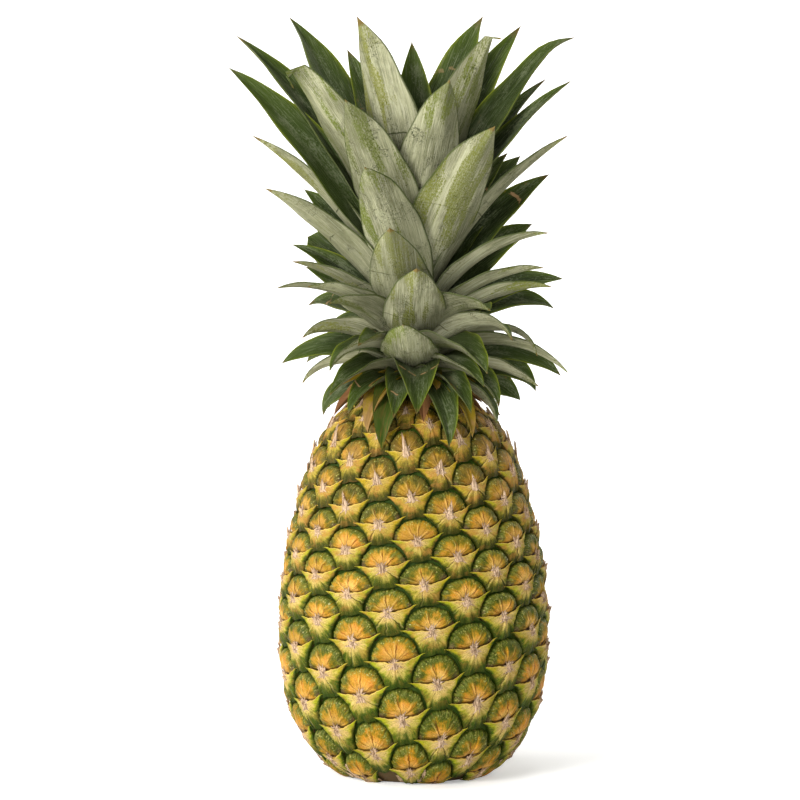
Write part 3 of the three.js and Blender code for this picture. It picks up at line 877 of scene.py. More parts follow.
def leaf_part(leaf, seed, crown, slots=(0, 1), age=None):
    """A channelled blade on a curved spine, with its upper face in the first material."""
    x, y, z, _, width, _ = leaf
    low = z < 200 and y < 5
    broken = (x, y) in BROKEN_LEAVES
    t = np.linspace(0, 0.992, LEAF_STEPS)
    spine, along, length = leaf_spine(leaf, t)
    rand = [scatter(seed * 5.1 + k * 2.7) for k in range(8)]
    rubbed = 0.5 + 0.5 * rand[3] if z < 200 else rand[3]
    rubbed = RUBBED_LEAVES.get((x, y), rubbed) if age is None else age
    curl = CURLED_LEAVES.get((x, y)) or ((LOW_CURL[0], LOW_CURL[1] * rand[7]) if z < 200 else None)
    if curl:
        spine, along = curl_spine(spine, along, t, *curl)
    azimuth = math.atan2(y, x)
    out = np.array([math.cos(azimuth), math.sin(azimuth), 0])
    side = np.array([-math.sin(azimuth), math.cos(azimuth), 0])
    up = np.array([0, 0, 1])
    freedom = 0.18 if y < 5 and z > 200 else 0.6
    freedom += (1 - freedom) * float(smooth(35, 65, abs(x)))
    sway = (rand[0] - 0.5) * 0.06 * freedom * length * np.sin(math.pi * t)
    middle = spine[:, :1] * out + spine[:, 1:] * up + sway[:, None] * side
    upper = -along[:, 1:] * out + along[:, :1] * up
    twist = freedom * ((rand[6] - 0.5) * 0.4 + (rand[1] - 0.5) * 0.7 * t) - leaf_twist(x, y, z, t)
    across = np.cos(twist)[:, None] * side + np.sin(twist)[:, None] * upper
    over = -np.sin(twist)[:, None] * side + np.cos(twist)[:, None] * upper
    if 180 < z < 300:
        width *= 1 - SLIM_SHARE * float(smooth(35, 58, abs(x)))
    half = leaf_blade(width, broken, low, t)
    columns = np.sin(np.linspace(-math.pi / 2, math.pi / 2, LEAF_COLUMNS))
    relief, thick = leaf_relief(crown, width, half, low, t, columns, rand[2] * 9)
    blade_x = half[:, None] * columns[None, :]
    flat = middle[:, None, :] + blade_x[:, :, None] * across[:, None, :]
    points = [
        (flat + (relief + face * thick)[:, :, None] * over[:, None, :]).reshape(-1, 3)
        for face in (1, -1)
    ]
    points.append((middle[-1] + 0.4 * (middle[-1] - middle[-2]))[None, :])
    coloured = 0.94 if broken else 1  # a torn end keeps the colours of the blade before it
    grid_t, grid_c = np.meshgrid(t * coloured, columns, indexing="ij")
    count = grid_t.size
    tip = {"leaf": [1.0, 0, 1], "blade": [0, length, seed * 13.7]}
    leaf_values = [
        np.stack([grid_t.ravel(), grid_c.ravel(), np.full(count, float(face))], -1)
        for face in (1, -1)
    ]
    blade_values = np.stack(
        [blade_x.ravel(), grid_t.ravel() * length, np.full(count, seed * 13.7)], -1
    )
    attributes = {
        "leaf": np.concatenate([*leaf_values, [tip["leaf"]]]),
        "blade": np.concatenate([blade_values, blade_values, [tip["blade"]]]),
        "mood": np.tile([rubbed, rand[4], rand[5]], (2 * count + 1, 1)),
    }
    faces, materials = leaf_faces(slots)
    return np.concatenate(points), faces, materials, attributes


# Materials

# Colours of the finishes, linear
# Domes
RED_ORANGE = (0.55, 0.2, 0.018, 1)
STRAW = (0.8, 0.5, 0.15, 1)
DULL_OCHRE = (0.33, 0.2, 0.025, 1)
RIPE_BROWN = (0.3, 0.15, 0.02, 1)
GOLD = (0.34, 0.2, 0.004, 1)
BROWN_OLIVE = (0.11, 0.08, 0.005, 1)
RIM_GREEN = (0.035, 0.06, 0.002, 1)
RIM_BROWN = (0.045, 0.04, 0.003, 1)
CREST_YELLOW = (0.24, 0.25, 0.02, 1)
HAIR_YELLOW = (0.22, 0.25, 0.05, 1)
# painted shade for the valleys between a dome's ridges
VALLEY_SHADE_GREEN = (0.02, 0.03, 0.002, 1)
# painted shade and painted highlight for the folds of a dome
FOLD_SHADE_RUST = (0.13, 0.04, 0.006, 1)
FOLD_HIGHLIGHT_CREAM = (0.85, 0.58, 0.2, 1)
WORN_BROWN = (0.13, 0.085, 0.018, 1)
SPECK_BROWN = (0.11, 0.045, 0.012, 1)
CORNER_BROWN = (0.1, 0.055, 0.035, 1)
GRIT_BROWN = (0.1, 0.05, 0.01, 1)
GRIT_CREAM = (0.85, 0.55, 0.16, 1)
# painted shade for the crevice under a bract's lip
CREVICE_SHADE = (0.03, 0.014, 0.005, 1)
# painted shade for the hole at a dome's navel
NAVEL_SHADE = (0.06, 0.03, 0.015, 1)
# painted highlight for the glints on the beads round a dome's rim
BEAD_GLINT_YELLOW = (0.55, 0.52, 0.13, 1)
# Bracts
RIPE_GOLD = (0.42, 0.28, 0.004, 1)
RIPE_GREEN = (0.1, 0.085, 0.003, 1)
# painted shade at the foot of a bract, green low on the fruit and brown high up
FOOT_SHADE_GREEN = (0.02, 0.042, 0.001, 1)
FOOT_SHADE_BROWN = (0.032, 0.026, 0.002, 1)
RIPE_CREAM = (0.46, 0.31, 0.06, 1)
# the bract's own dark green, deepened as painted shade
FLANK_GREEN_AND_SHADE = (0.018, 0.05, 0.002, 1)
STREAK_OLIVE = (0.25, 0.2, 0.02, 1)
GRIT_OLIVE = (0.12, 0.085, 0.02, 1)
GRIT_STRAW = (0.7, 0.55, 0.15, 1)
RUST = (0.42, 0.2, 0.04, 1)
PINK = (0.56, 0.39, 0.24, 1)
FOLD_SHADE = (0.035, 0.03, 0.006, 1)
# painted highlight beside the folds of a bract
FOLD_HIGHLIGHT_STRAW = (0.72, 0.55, 0.22, 1)
DASH_BROWN = (0.12, 0.06, 0.02, 1)
SPOT_BROWN = (0.11, 0.06, 0.02, 1)
LIP_CREAM = (0.7, 0.5, 0.11, 1)
# Dried tips and the skin between the eyes
DRY_PINK = (0.62, 0.46, 0.33, 1)
DRY_LINE = (0.2, 0.12, 0.06, 1)
# painted shade for small holes in the dried tips
DRY_HOLE_SHADE = (0.05, 0.03, 0.02, 1)
DRY_END = (0.26, 0.17, 0.1, 1)
MOSS = (0.03, 0.055, 0.006, 1)
CORK = (0.28, 0.19, 0.09, 1)
PALE_CORK = (0.42, 0.32, 0.17, 1)
EARTH = (0.13, 0.085, 0.04, 1)
# Undersides of the leaves
THIN_BLOOM = (0.34, 0.35, 0.215, 1)
SHADED_BLOOM = (0.17, 0.175, 0.1, 1)
BLOOM_LINE = (0.14, 0.155, 0.075, 1)
WAX_LINE = (0.62, 0.62, 0.47, 1)
VEIN = (0.12, 0.135, 0.06, 1)
RUBBED_OLIVE = (0.19, 0.2, 0.035, 1)
FLECK = (0.03, 0.042, 0.01, 1)
SCRATCH = (0.045, 0.055, 0.02, 1)
INNER_SHADE = (0.11, 0.115, 0.06, 1)
ROOT_SHADE = (0.045, 0.05, 0.025, 1)
EDGE_GREEN = (0.04, 0.06, 0.01, 1)
# Upper faces of the leaves
LOW_GREEN = (0.03, 0.048, 0.009, 1)
UPPER_LINE = (0.035, 0.055, 0.014, 1)
FRESH_GREEN = (0.05, 0.08, 0.006, 1)
UPPER_WAX = (0.17, 0.2, 0.11, 1)
DUST = (0.2, 0.225, 0.14, 1)
EDGE_YELLOW = (0.19, 0.22, 0.01, 1)
SCAR = (0.42, 0.26, 0.13, 1)
LEAF_RUST = (0.22, 0.1, 0.035, 1)
TIP_BROWN = (0.1, 0.07, 0.02, 1)
# Old leaves and the cut stem
OLD_GREEN = (0.03, 0.06, 0.006, 1)
OLD_YELLOW = (0.2, 0.14, 0.008, 1)
OLD_TAN = (0.28, 0.17, 0.06, 1)
OLD_BROWN = (0.16, 0.07, 0.03, 1)
OLD_LINE = (0.12, 0.07, 0.02, 1)
PITH = (0.5, 0.38, 0.2, 1)
PALE_PITH = (0.62, 0.5, 0.3, 1)
FIBRE_END = (0.26, 0.17, 0.08, 1)
STEM_RIND = (0.2, 0.12, 0.05, 1)


class Graph:
    """Short names for the nodes of a material or a node group."""

    def __init__(self, tree):
        self.tree = tree

    def node(self, kind, **settings):
        made = self.tree.nodes.new(kind)
        for key, value in settings.items():
            setattr(made, key, value)
        return made

    def put(self, socket, value):
        if isinstance(value, bpy.types.NodeSocket):
            self.tree.links.new(value, socket)
        elif value is not None:
            socket.default_value = value

    def attribute(self, name):
        return self.node("ShaderNodeAttribute", attribute_name=name).outputs["Vector"]

    def split(self, vector):
        made = self.node("ShaderNodeSeparateXYZ")
        self.put(made.inputs[0], vector)
        return made.outputs

    def join(self, x, y, z):
        made = self.node("ShaderNodeCombineXYZ")
        for socket, value in zip(made.inputs, (x, y, z)):
            self.put(socket, value)
        return made.outputs[0]

    def math(self, operation, a, b=None, c=None):
        made = self.node("ShaderNodeMath", operation=operation)
        for socket, value in zip(made.inputs, (a, b, c)):
            self.put(socket, value)
        return made.outputs[0]

    def times(self, a, b):
        return self.math("MULTIPLY", a, b)

    def plus(self, a, b):
        return self.math("ADD", a, b)

    def minus(self, a, b):
        return self.math("SUBTRACT", a, b)

    def times_plus(self, a, b, c):
        return self.math("MULTIPLY_ADD", a, b, c)

    def absolute(self, a):
        return self.math("ABSOLUTE", a)

    def shift(self, value, noise, amount):
        """The value, made uneven by a noise whose middle is a half."""
        return self.times_plus(self.minus(noise, 0.5), amount, value)

    def paint(self, under, over, mask, strength=1):
        """One colour over another where the mask is."""
        return self.mix(mask if strength == 1 else self.times(mask, strength), under, over)

    def surface(self, shader, colour, rough, height, strength, depth):
        """Feeds the shader with a surface's colour, roughness and relief."""
        self.put(shader["Base Color"], colour)
        self.put(shader["Roughness"], rough)
        self.put(shader["Normal"], self.bump(height, strength, depth))

    def scale(self, vector, factors):
        made = self.node("ShaderNodeVectorMath", operation="MULTIPLY")
        self.put(made.inputs[0], vector)
        self.put(made.inputs[1], factors)
        return made.outputs[0]

    def noise(self, vector, scale, detail=3, roughness=0.5, distortion=0):
        made = self.node("ShaderNodeTexNoise")
        for name, value in (
            ("Vector", vector), ("Scale", scale), ("Detail", detail),
            ("Roughness", roughness), ("Distortion", distortion),
        ):
            self.put(made.inputs[name], value)
        return made.outputs["Fac"]

    def cells(self, vector, scale):
        made = self.node("ShaderNodeTexVoronoi")
        self.put(made.inputs["Vector"], vector)
        self.put(made.inputs["Scale"], scale)
        return made.outputs["Distance"]

    def range(self, value, low, high, to_low=0.0, to_high=1.0):
        made = self.node("ShaderNodeMapRange", interpolation_type="SMOOTHSTEP")
        for socket, number in zip(made.inputs, (value, low, high, to_low, to_high)):
            self.put(socket, number)
        return made.outputs[0]

    def mix(self, factor, a, b):
        made = self.node("ShaderNodeMix", data_type="RGBA")
        self.put(made.inputs["Factor"], factor)
        self.put(made.inputs[6], a)
        self.put(made.inputs[7], b)
        return made.outputs[2]

    def group(self, tree, **values):
        made = self.node("ShaderNodeGroup", node_tree=tree)
        for key, value in values.items():
            self.put(made.inputs[key], value)
        return made.outputs

    def bump(self, height, strength, distance):
        made = self.node("ShaderNodeBump")
        self.put(made.inputs["Height"], height)
        made.inputs["Strength"].default_value = strength
        made.inputs["Distance"].default_value = distance
        return made.outputs[0]


def new_group(name, inputs, outputs):
    """A node group with named sockets."""
    tree = bpy.data.node_groups.new(name, "ShaderNodeTree")
    for key, (kind, default) in inputs.items():
        socket = tree.interface.new_socket(key, in_out="INPUT", socket_type=kind)
        if default is not None:
            socket.default_value = default
    for key, kind in outputs.items():
        tree.interface.new_socket(key, in_out="OUTPUT", socket_type=kind)
    graph = Graph(tree)
    entry = graph.node("NodeGroupInput")
    result = graph.node("NodeGroupOutput")
    return graph, entry.outputs, result.inputs


NUMBER, VECTOR = "NodeSocketFloat", "NodeSocketVector"


def fibres_group():
    """Fine lines along the second coordinate, broken and uneven."""
    graph, given, result = new_group(
        "Fibres",
        {"Place": (VECTOR, None), "Across": (NUMBER, 1.0), "Along": (NUMBER, 0.1),
         "Low": (NUMBER, 0.4), "High": (NUMBER, 0.6)},
        {"Mask": NUMBER, "Height": NUMBER},
    )
    x, y, z = graph.split(given["Place"])
    stretched = graph.join(graph.times(x, given["Across"]), graph.times(y, given["Along"]), z)
    lines = graph.noise(stretched, 1.0, 4, 0.6)
    graph.put(result["Height"], lines)
    graph.put(result["Mask"], graph.range(lines, given["Low"], given["High"]))
    return graph.tree


def patches_group():
    """Soft blotches whose edges are broken up by a finer grain."""
    graph, given, result = new_group(
        "Patches",
        {"Place": (VECTOR, None), "Scale": (NUMBER, 0.1), "Grain": (NUMBER, 2.0),
         "Low": (NUMBER, 0.5), "High": (NUMBER, 0.6)},
        {"Mask": NUMBER, "Height": NUMBER},
    )
    broad = graph.noise(given["Place"], given["Scale"], 3, 0.55)
    fine = graph.noise(given["Place"], given["Grain"], 4, 0.7)
    both = graph.shift(broad, fine, 0.35)
    graph.put(result["Mask"], graph.range(both, given["Low"], given["High"]))
    graph.put(result["Height"], both)
    return graph.tree


def specks_group():
    """Small scattered spots."""
    graph, given, result = new_group(
        "Specks",
        {"Place": (VECTOR, None), "Scale": (NUMBER, 1.0), "Size": (NUMBER, 0.2),
         "Share": (NUMBER, 0.5)},
        {"Mask": NUMBER},
    )
    distance = graph.cells(given["Place"], given["Scale"])
    spot = graph.range(distance, given["Size"], graph.times(given["Size"], 0.5))
    chosen = graph.noise(given["Place"], graph.times(given["Scale"], 0.45), 1)
    kept = graph.range(chosen, graph.minus(0.75, given["Share"]), 0.75)
    graph.put(result["Mask"], graph.times(spot, kept))
    return graph.tree


def rays_group():
    """Fine lines that run out from the navel of an eye, with the direction in half turns and
    the distance in millimetres."""
    graph, given, result = new_group(
        "Rays",
        {"Place": (VECTOR, None), "Lines": (NUMBER, 16.0), "Along": (NUMBER, 0.16),
         "Low": (NUMBER, 0.4), "High": (NUMBER, 0.6)},
        {"Mask": NUMBER, "Height": NUMBER, "Angle": NUMBER, "Distance": NUMBER},
    )
    x, y, z = graph.split(given["Place"])
    angle = graph.math("DIVIDE", graph.math("ARCTAN2", y, x), math.pi)
    flat = graph.node("ShaderNodeVectorMath", operation="LENGTH")
    graph.put(flat.inputs[0], graph.join(x, y, 0.0))
    distance = flat.outputs["Value"]
    turned = graph.times(angle, given["Lines"])
    far = graph.times(distance, given["Along"])
    lines = graph.noise(graph.join(turned, far, z), 1.0, 4, 0.6)
    graph.put(result["Mask"], graph.range(lines, given["Low"], given["High"]))
    graph.put(result["Height"], lines)
    graph.put(result["Angle"], angle)
    graph.put(result["Distance"], distance)
    return graph.tree


def crease_group():
    """A fold that runs out from the navel: a dark line of painted shade with a painted highlight
    beside it.
    """
    graph, given, result = new_group(
        "Crease",
        {"Angle": (NUMBER, 0.0), "Distance": (NUMBER, 0.0), "Turn": (NUMBER, 0.5),
         "Width": (NUMBER, 0.015), "Start": (NUMBER, 1.0), "Seed": (NUMBER, 0.0)},
        {"Dark": NUMBER, "Pale": NUMBER},
    )
    wander = graph.noise(graph.join(given["Distance"], given["Turn"], given["Seed"]), 0.5, 2)
    wander = graph.times(graph.minus(wander, 0.5), 0.09)
    offset = graph.minus(graph.plus(given["Angle"], wander), given["Turn"])
    begun = graph.range(given["Distance"], given["Start"], graph.plus(given["Start"], 1.0))
    fine = graph.times(given["Width"], 0.3)
    dark = graph.range(graph.absolute(offset), given["Width"], fine)
    beside = graph.minus(offset, graph.times(given["Width"], 2.2))
    pale = graph.range(graph.absolute(beside), given["Width"], fine)
    graph.put(result["Dark"], graph.times(dark, begun))
    graph.put(result["Pale"], graph.times(pale, begun))
    return graph.tree


def new_material(name):
    """A material, short names for its nodes, and its shader's sockets."""
    material = bpy.data.materials.new(name)
    material.use_nodes = True
    graph = Graph(material.node_tree)
    shader = next(n for n in material.node_tree.nodes if n.type == "BSDF_PRINCIPLED")
    shader.inputs["Specular IOR Level"].default_value = 0.12
    return material, graph, shader.inputs


EFFECTS = {
    "Fibres": fibres_group,
    "Patches": patches_group,
    "Specks": specks_group,
    "Rays": rays_group,
    "Crease": crease_group,
}


def effect(name):
    """The node group of that name, built the first time it is asked for."""
    return bpy.data.node_groups.get(name) or EFFECTS[name]()


def eye_inputs(graph):
    """What Eye.attributes stored: nearness, chance, two free values, level, spot, seed."""
    near, _, chance = graph.split(graph.attribute("eye"))
    first, second, level = graph.split(graph.attribute("place"))
    spot = graph.attribute("spot")
    return near, chance, first, second, level, spot, graph.split(spot)[2]


def dome_material(rind):
    """An orange dome with fine rays, olive towards its ridged and beaded rim, with painted shade in
    its folds, ridge valleys, navel hole and under the bract's lip, and painted highlights beside the
    folds and on the beads.
    """
    material, graph, shader = new_material("dome_rind")
    near, chance, ridge, _, level, spot, seed = eye_inputs(graph)
    rays = graph.group(effect("Rays"), Place=spot, Lines=16.0, Along=0.16, Low=0.4, High=0.62)
    thin = graph.group(effect("Rays"), Place=spot, Lines=54.0, Along=0.26, Low=0.45, High=0.6)
    blotch = graph.group(effect("Patches"), Place=spot, Scale=0.2, Grain=1.6, Low=0.4, High=0.62)
    colour = graph.mix(blotch["Mask"], tuple(rind.orange), RED_ORANGE)
    ray_edge = graph.shift(rays["Distance"], rays["Height"], 6.0)
    paleness = graph.range(graph.noise(graph.join(seed, 0.0, 5.0), 1.3, 0), 0.35, 0.65, 0.5, 1.0)
    pale_zone = graph.times(graph.range(ray_edge, 7.5, 1.5), paleness)
    colour = graph.paint(colour, tuple(rind.tan), pale_zone)
    colour = graph.paint(colour, STRAW, thin["Mask"], 0.35)
    dull = graph.range(graph.noise(graph.join(seed, 3.0, 1.0), 1.1, 0), 0.5, 0.7, 0.0, 0.5)
    colour = graph.paint(colour, DULL_OCHRE, dull)
    brown = graph.times(graph.range(level, 0.45, 1.0), 0.55)
    colour = graph.paint(colour, RIPE_BROWN, brown)
    uneven = graph.noise(spot, 0.3, 3)
    edge = graph.shift(near, uneven, 1.1)
    edge = graph.shift(edge, thin["Height"], 0.6)
    edge = graph.shift(edge, chance, 0.3)
    edge = graph.times_plus(level, 0.1, edge)
    colour = graph.paint(colour, GOLD, graph.range(edge, 0.3, 0.66, 0.0, 0.8))
    high = graph.range(level, 0.5, 0.95)
    olive = graph.mix(high, tuple(rind.olive), BROWN_OLIVE)
    colour = graph.paint(colour, olive, graph.range(edge, 0.52, 0.84))
    rim = graph.mix(high, RIM_GREEN, RIM_BROWN)
    colour = graph.paint(colour, rim, graph.range(edge, 0.76, 1.0))
    crest = graph.times(graph.range(ridge, 0.55, 0.9), graph.range(near, 0.62, 0.8))
    colour = graph.paint(colour, CREST_YELLOW, crest, 0.4)
    hairs = graph.times(thin["Mask"], graph.range(near, 0.66, 0.82))
    colour = graph.paint(colour, HAIR_YELLOW, hairs, 0.45)
    # painted shade in the valleys between the ridges near the rim
    valley_shade = graph.times(graph.range(ridge, 0.45, 0.12), graph.range(near, 0.55, 0.8))
    colour = graph.paint(colour, VALLEY_SHADE_GREEN, valley_shade, 0.6)
    # painted shade as dark fold lines running out from the navel, with a painted highlight beside
    # each
    for turn, strength in ((0.5, 0.9), (0.2, 0.6), (0.8, 0.6)):
        at = graph.shift(turn, chance, 0.3 * turn + 0.05)
        fold = graph.group(
            effect("Crease"), Angle=rays["Angle"], Distance=rays["Distance"], Turn=at,
            Width=0.02, Start=0.6, Seed=seed,
        )
        inner = graph.range(near, 0.8, 0.5)
        dark = graph.times(graph.times(fold["Dark"], inner), strength)
        pale = graph.times(graph.times(fold["Pale"], inner), strength * 0.35)
        colour = graph.paint(colour, FOLD_SHADE_RUST, dark)
        colour = graph.paint(colour, FOLD_HIGHLIGHT_CREAM, pale)
    worn = graph.times(
        graph.range(level, 0.6, 0.95), graph.range(graph.noise(spot, 0.22, 2), 0.38, 0.6)
    )
    colour = graph.paint(colour, WORN_BROWN, worn, 0.75)
    specks = graph.group(effect("Specks"), Place=spot, Scale=1.5, Size=0.32, Share=0.42)
    colour = graph.paint(colour, SPECK_BROWN, specks["Mask"], 0.6)
    corner_noise = graph.group(
        effect("Patches"), Place=spot, Scale=0.3, Grain=2.0, Low=0.42, High=0.56
    )
    across = graph.absolute(graph.split(spot)[0])
    corner = graph.times(graph.range(across, 5.5, 9.0), graph.range(graph.split(spot)[1], 4.5, 1.0))
    corner = graph.times(corner, corner_noise["Mask"])
    colour = graph.paint(colour, CORNER_BROWN, corner, 0.8)
    colour = graph.paint(colour, tuple(rind.groove), graph.range(near, 0.92, 1.0))
    grit = graph.noise(spot, 2.6, 3, 0.7)
    colour = graph.paint(colour, GRIT_BROWN, graph.range(grit, 0.53, 0.66, 0.0, 0.6))
    colour = graph.paint(colour, GRIT_CREAM, graph.range(grit, 0.42, 0.3, 0.0, 0.3))
    # painted shade: a dark line along the dome's foot, where the bract's lip overhangs it
    crevice_shade = graph.range(graph.split(spot)[1], 1.3, 0.2)
    colour = graph.paint(colour, CREVICE_SHADE, crevice_shade, 0.85)
    # painted shade: the dark hole in the middle of the dome
    navel = graph.range(rays["Distance"], 1.9, 0.5)
    colour = graph.paint(colour, NAVEL_SHADE, navel, 0.85)
    beads = graph.group(effect("Specks"), Place=spot, Scale=0.95, Size=0.4, Share=0.45)
    shine = graph.times(beads["Mask"], graph.range(near, 0.62, 0.76))
    shine = graph.times(shine, graph.range(near, 0.97, 0.9))
    # painted highlight: pale glints on the beads round the rim, which also get a real glossy coat and
    # bump
    colour = graph.paint(colour, BEAD_GLINT_YELLOW, shine, 0.7)
    graph.put(shader["Coat Weight"], graph.times(shine, 0.8))
    shader["Coat Roughness"].default_value = 0.15
    height = graph.plus(graph.times(rays["Height"], 0.8), graph.noise(spot, 2.2, 4, 0.6))
    height = graph.plus(height, graph.times(shine, 0.9))
    height = graph.plus(height, graph.times(thin["Height"], 0.4))
    rough = graph.times_plus(shine, -0.3, 0.5)
    graph.surface(shader, colour, rough, height, 0.8, 0.45 * MM)
    return material


def bract_material(rind):
    """A bract, streaked cream and lime, green at its foot and pink at the navel, with painted shade
    towards its foot and in its folds and a painted highlight beside each fold.
    """
    material, graph, shader = new_material("bract_rind")
    near, chance, down, across, level, spot, seed = eye_inputs(graph)
    rays = graph.group(effect("Rays"), Place=spot, Lines=14.0, Along=0.13, Low=0.38, High=0.6)
    fine = graph.group(effect("Rays"), Place=spot, Lines=50.0, Along=0.21, Low=0.44, High=0.6)
    warm = graph.times_plus(chance, 0.45, graph.times(level, 0.75))
    high = graph.range(level, 0.32, 0.9)
    lime = graph.mix(graph.range(warm, 0.3, 1.1), tuple(rind.lime), RIPE_GOLD)
    green = graph.mix(high, tuple(rind.green), RIPE_GREEN)
    shadow = graph.mix(high, FOOT_SHADE_GREEN, FOOT_SHADE_BROWN)
    cream = graph.mix(graph.times(high, 0.8), tuple(rind.cream), RIPE_CREAM)
    flank = graph.times_plus(graph.absolute(across), 0.3, down)
    flank = graph.shift(flank, rays["Height"], 0.7)
    patch = graph.noise(spot, 0.24, 3)
    flank = graph.shift(flank, patch, 0.9)
    colour = graph.mix(graph.range(flank, 0.42, 0.78), lime, green)
    # dark green at the foot and sides: partly the bract's own colour, partly painted shade
    colour = graph.paint(colour, FLANK_GREEN_AND_SHADE, graph.range(flank, 0.72, 1.05))
    reach = graph.shift(near, rays["Height"], 0.9)
    reach = graph.times_plus(down, 0.25, reach)
    reach = graph.times_plus(graph.absolute(across), 0.42, reach)
    reach = graph.shift(reach, patch, 0.9)
    colour = graph.paint(colour, cream, graph.range(reach, 1.12, 0.4), 0.92)
    colour = graph.paint(colour, STREAK_OLIVE, fine["Mask"], 0.42)
    grit = graph.noise(spot, 2.4, 3, 0.7)
    colour = graph.paint(colour, GRIT_OLIVE, graph.range(grit, 0.52, 0.64, 0.0, 0.6))
    colour = graph.paint(colour, GRIT_STRAW, graph.range(grit, 0.42, 0.32, 0.0, 0.25))
    rust = graph.group(effect("Patches"), Place=spot, Scale=0.2, Grain=1.3, Low=0.5, High=0.64)
    rust_share = graph.times(rust["Mask"], graph.range(level, 0.1, 0.9, 0.2, 0.75))
    colour = graph.paint(colour, RUST, rust_share)
    pink_at = graph.shift(near, fine["Height"], 0.5)
    colour = graph.paint(colour, PINK, graph.range(pink_at, 0.36, 0.1), 0.85)
    cracks = None
    # painted shade as dark fold lines from the navel, with a painted highlight beside each
    for k, (turn, spread, width) in enumerate(BRACT_FOLDS):
        fold = graph.group(
            effect("Crease"), Angle=rays["Angle"], Distance=rays["Distance"],
            Turn=graph.times_plus(chance, -spread, -turn), Width=width, Start=1.2, Seed=seed,
        )
        some = graph.range(graph.noise(graph.join(seed, float(k), 0.0), 1.0, 0), 0.46, 0.58)
        dark = graph.times(fold["Dark"], some)
        pale = graph.times(fold["Pale"], some)
        colour = graph.paint(colour, FOLD_SHADE, dark, 0.9)
        colour = graph.paint(colour, FOLD_HIGHLIGHT_STRAW, pale, 0.3)
        cracks = dark if cracks is None else graph.math("MAXIMUM", cracks, dark)
    dashes = graph.group(effect("Rays"), Place=spot, Lines=24.0, Along=0.34, Low=0.62, High=0.7)
    dashed = graph.times(dashes["Mask"], graph.range(near, 0.2, 0.35))
    dashed = graph.times(dashed, graph.range(near, 0.75, 0.6))
    colour = graph.paint(colour, DASH_BROWN, dashed, 0.8)
    specks = graph.group(effect("Specks"), Place=spot, Scale=1.0, Size=0.3, Share=0.4)
    colour = graph.paint(colour, SPOT_BROWN, specks["Mask"], 0.7)
    # painted shade towards the bract's foot, where it meets the dome below
    foot = graph.shift(down, rays["Height"], 0.6)
    foot = graph.shift(foot, grit, 0.3)
    colour = graph.paint(colour, shadow, graph.range(foot, 0.52, 1.0, 0.0, 0.85))
    edge = graph.shift(down, patch, 0.05)
    lip = graph.range(edge, 0.055, 0.015)
    colour = graph.paint(colour, LIP_CREAM, lip, 0.8)
    height = graph.plus(rays["Height"], graph.times(fine["Height"], 0.7))
    height = graph.times_plus(grit, 0.7, height)
    height = graph.minus(height, graph.times(cracks, 0.9))
    rough = graph.times_plus(rays["Mask"], 0.15, 0.42)
    graph.surface(shader, colour, rough, height, 0.85, 0.5 * MM)
    return material


def dry_material(rind):
    """Dried tips of pale, pinkish fibres with dark lines, and dark specks of painted shade where
    small holes are.
    """
    material, graph, shader = new_material("dried_tip")
    near, chance, _, _, _, spot, _ = eye_inputs(graph)
    lines = graph.group(effect("Fibres"), Place=spot, Across=2.4, Along=0.25, Low=0.42, High=0.58)
    pale = graph.mix(chance, tuple(rind.dry), DRY_PINK)
    colour = graph.mix(graph.times(lines["Mask"], 0.8), pale, DRY_LINE)
    # painted shade: dark specks standing for small holes
    hole_shade = graph.group(effect("Specks"), Place=spot, Scale=1.2, Size=0.42, Share=0.56)
    colour = graph.paint(colour, DRY_HOLE_SHADE, hole_shade["Mask"], 0.9)
    colour = graph.paint(colour, DRY_END, graph.range(near, 0.75, 1.0), 0.7)
    height = lines["Height"]
    graph.surface(shader, colour, 0.75, height, 0.7, 0.35 * MM)
    return material


def skin_material(rind):
    """Dark green skin in the grooves, and cork in the hollow of the base."""
    material, graph, shader = new_material("groove_rind")
    _, _, side, _, level, spot, _ = eye_inputs(graph)
    mottle = graph.group(effect("Patches"), Place=spot, Scale=0.25, Grain=1.5, Low=0.45, High=0.65)
    green = graph.mix(mottle["Mask"], tuple(rind.groove), MOSS)
    cork = graph.mix(mottle["Mask"], CORK, PALE_CORK)
    low = graph.shift(level, mottle["Height"], 0.08)
    green = graph.mix(graph.range(low, 0.07, 0.03), green, EARTH)
    colour = graph.mix(side, cork, green)
    height = graph.noise(spot, 1.6, 4)
    graph.surface(shader, colour, 0.6, height, 0.6, 0.4 * MM)
    return material


def leaf_inputs(graph):
    """Place along and across the blade, three random values, place and seed."""
    t, c, _ = graph.split(graph.attribute("leaf"))
    place = graph.attribute("blade")
    return t, c, graph.split(graph.attribute("mood")), place, graph.split(place)[2]


def leaf_line(graph, t, c, at, width, seed):
    """A line across the blade, bowed and a little uneven."""
    bow = graph.times(graph.times(c, c), 0.035)
    uneven = graph.noise(graph.join(graph.times(c, 2.5), at, seed), 1.0, 3)
    offset = graph.minus(graph.plus(t, bow), at)
    offset = graph.shift(offset, uneven, 0.03)
    return graph.range(graph.absolute(offset), width, width * 0.4)


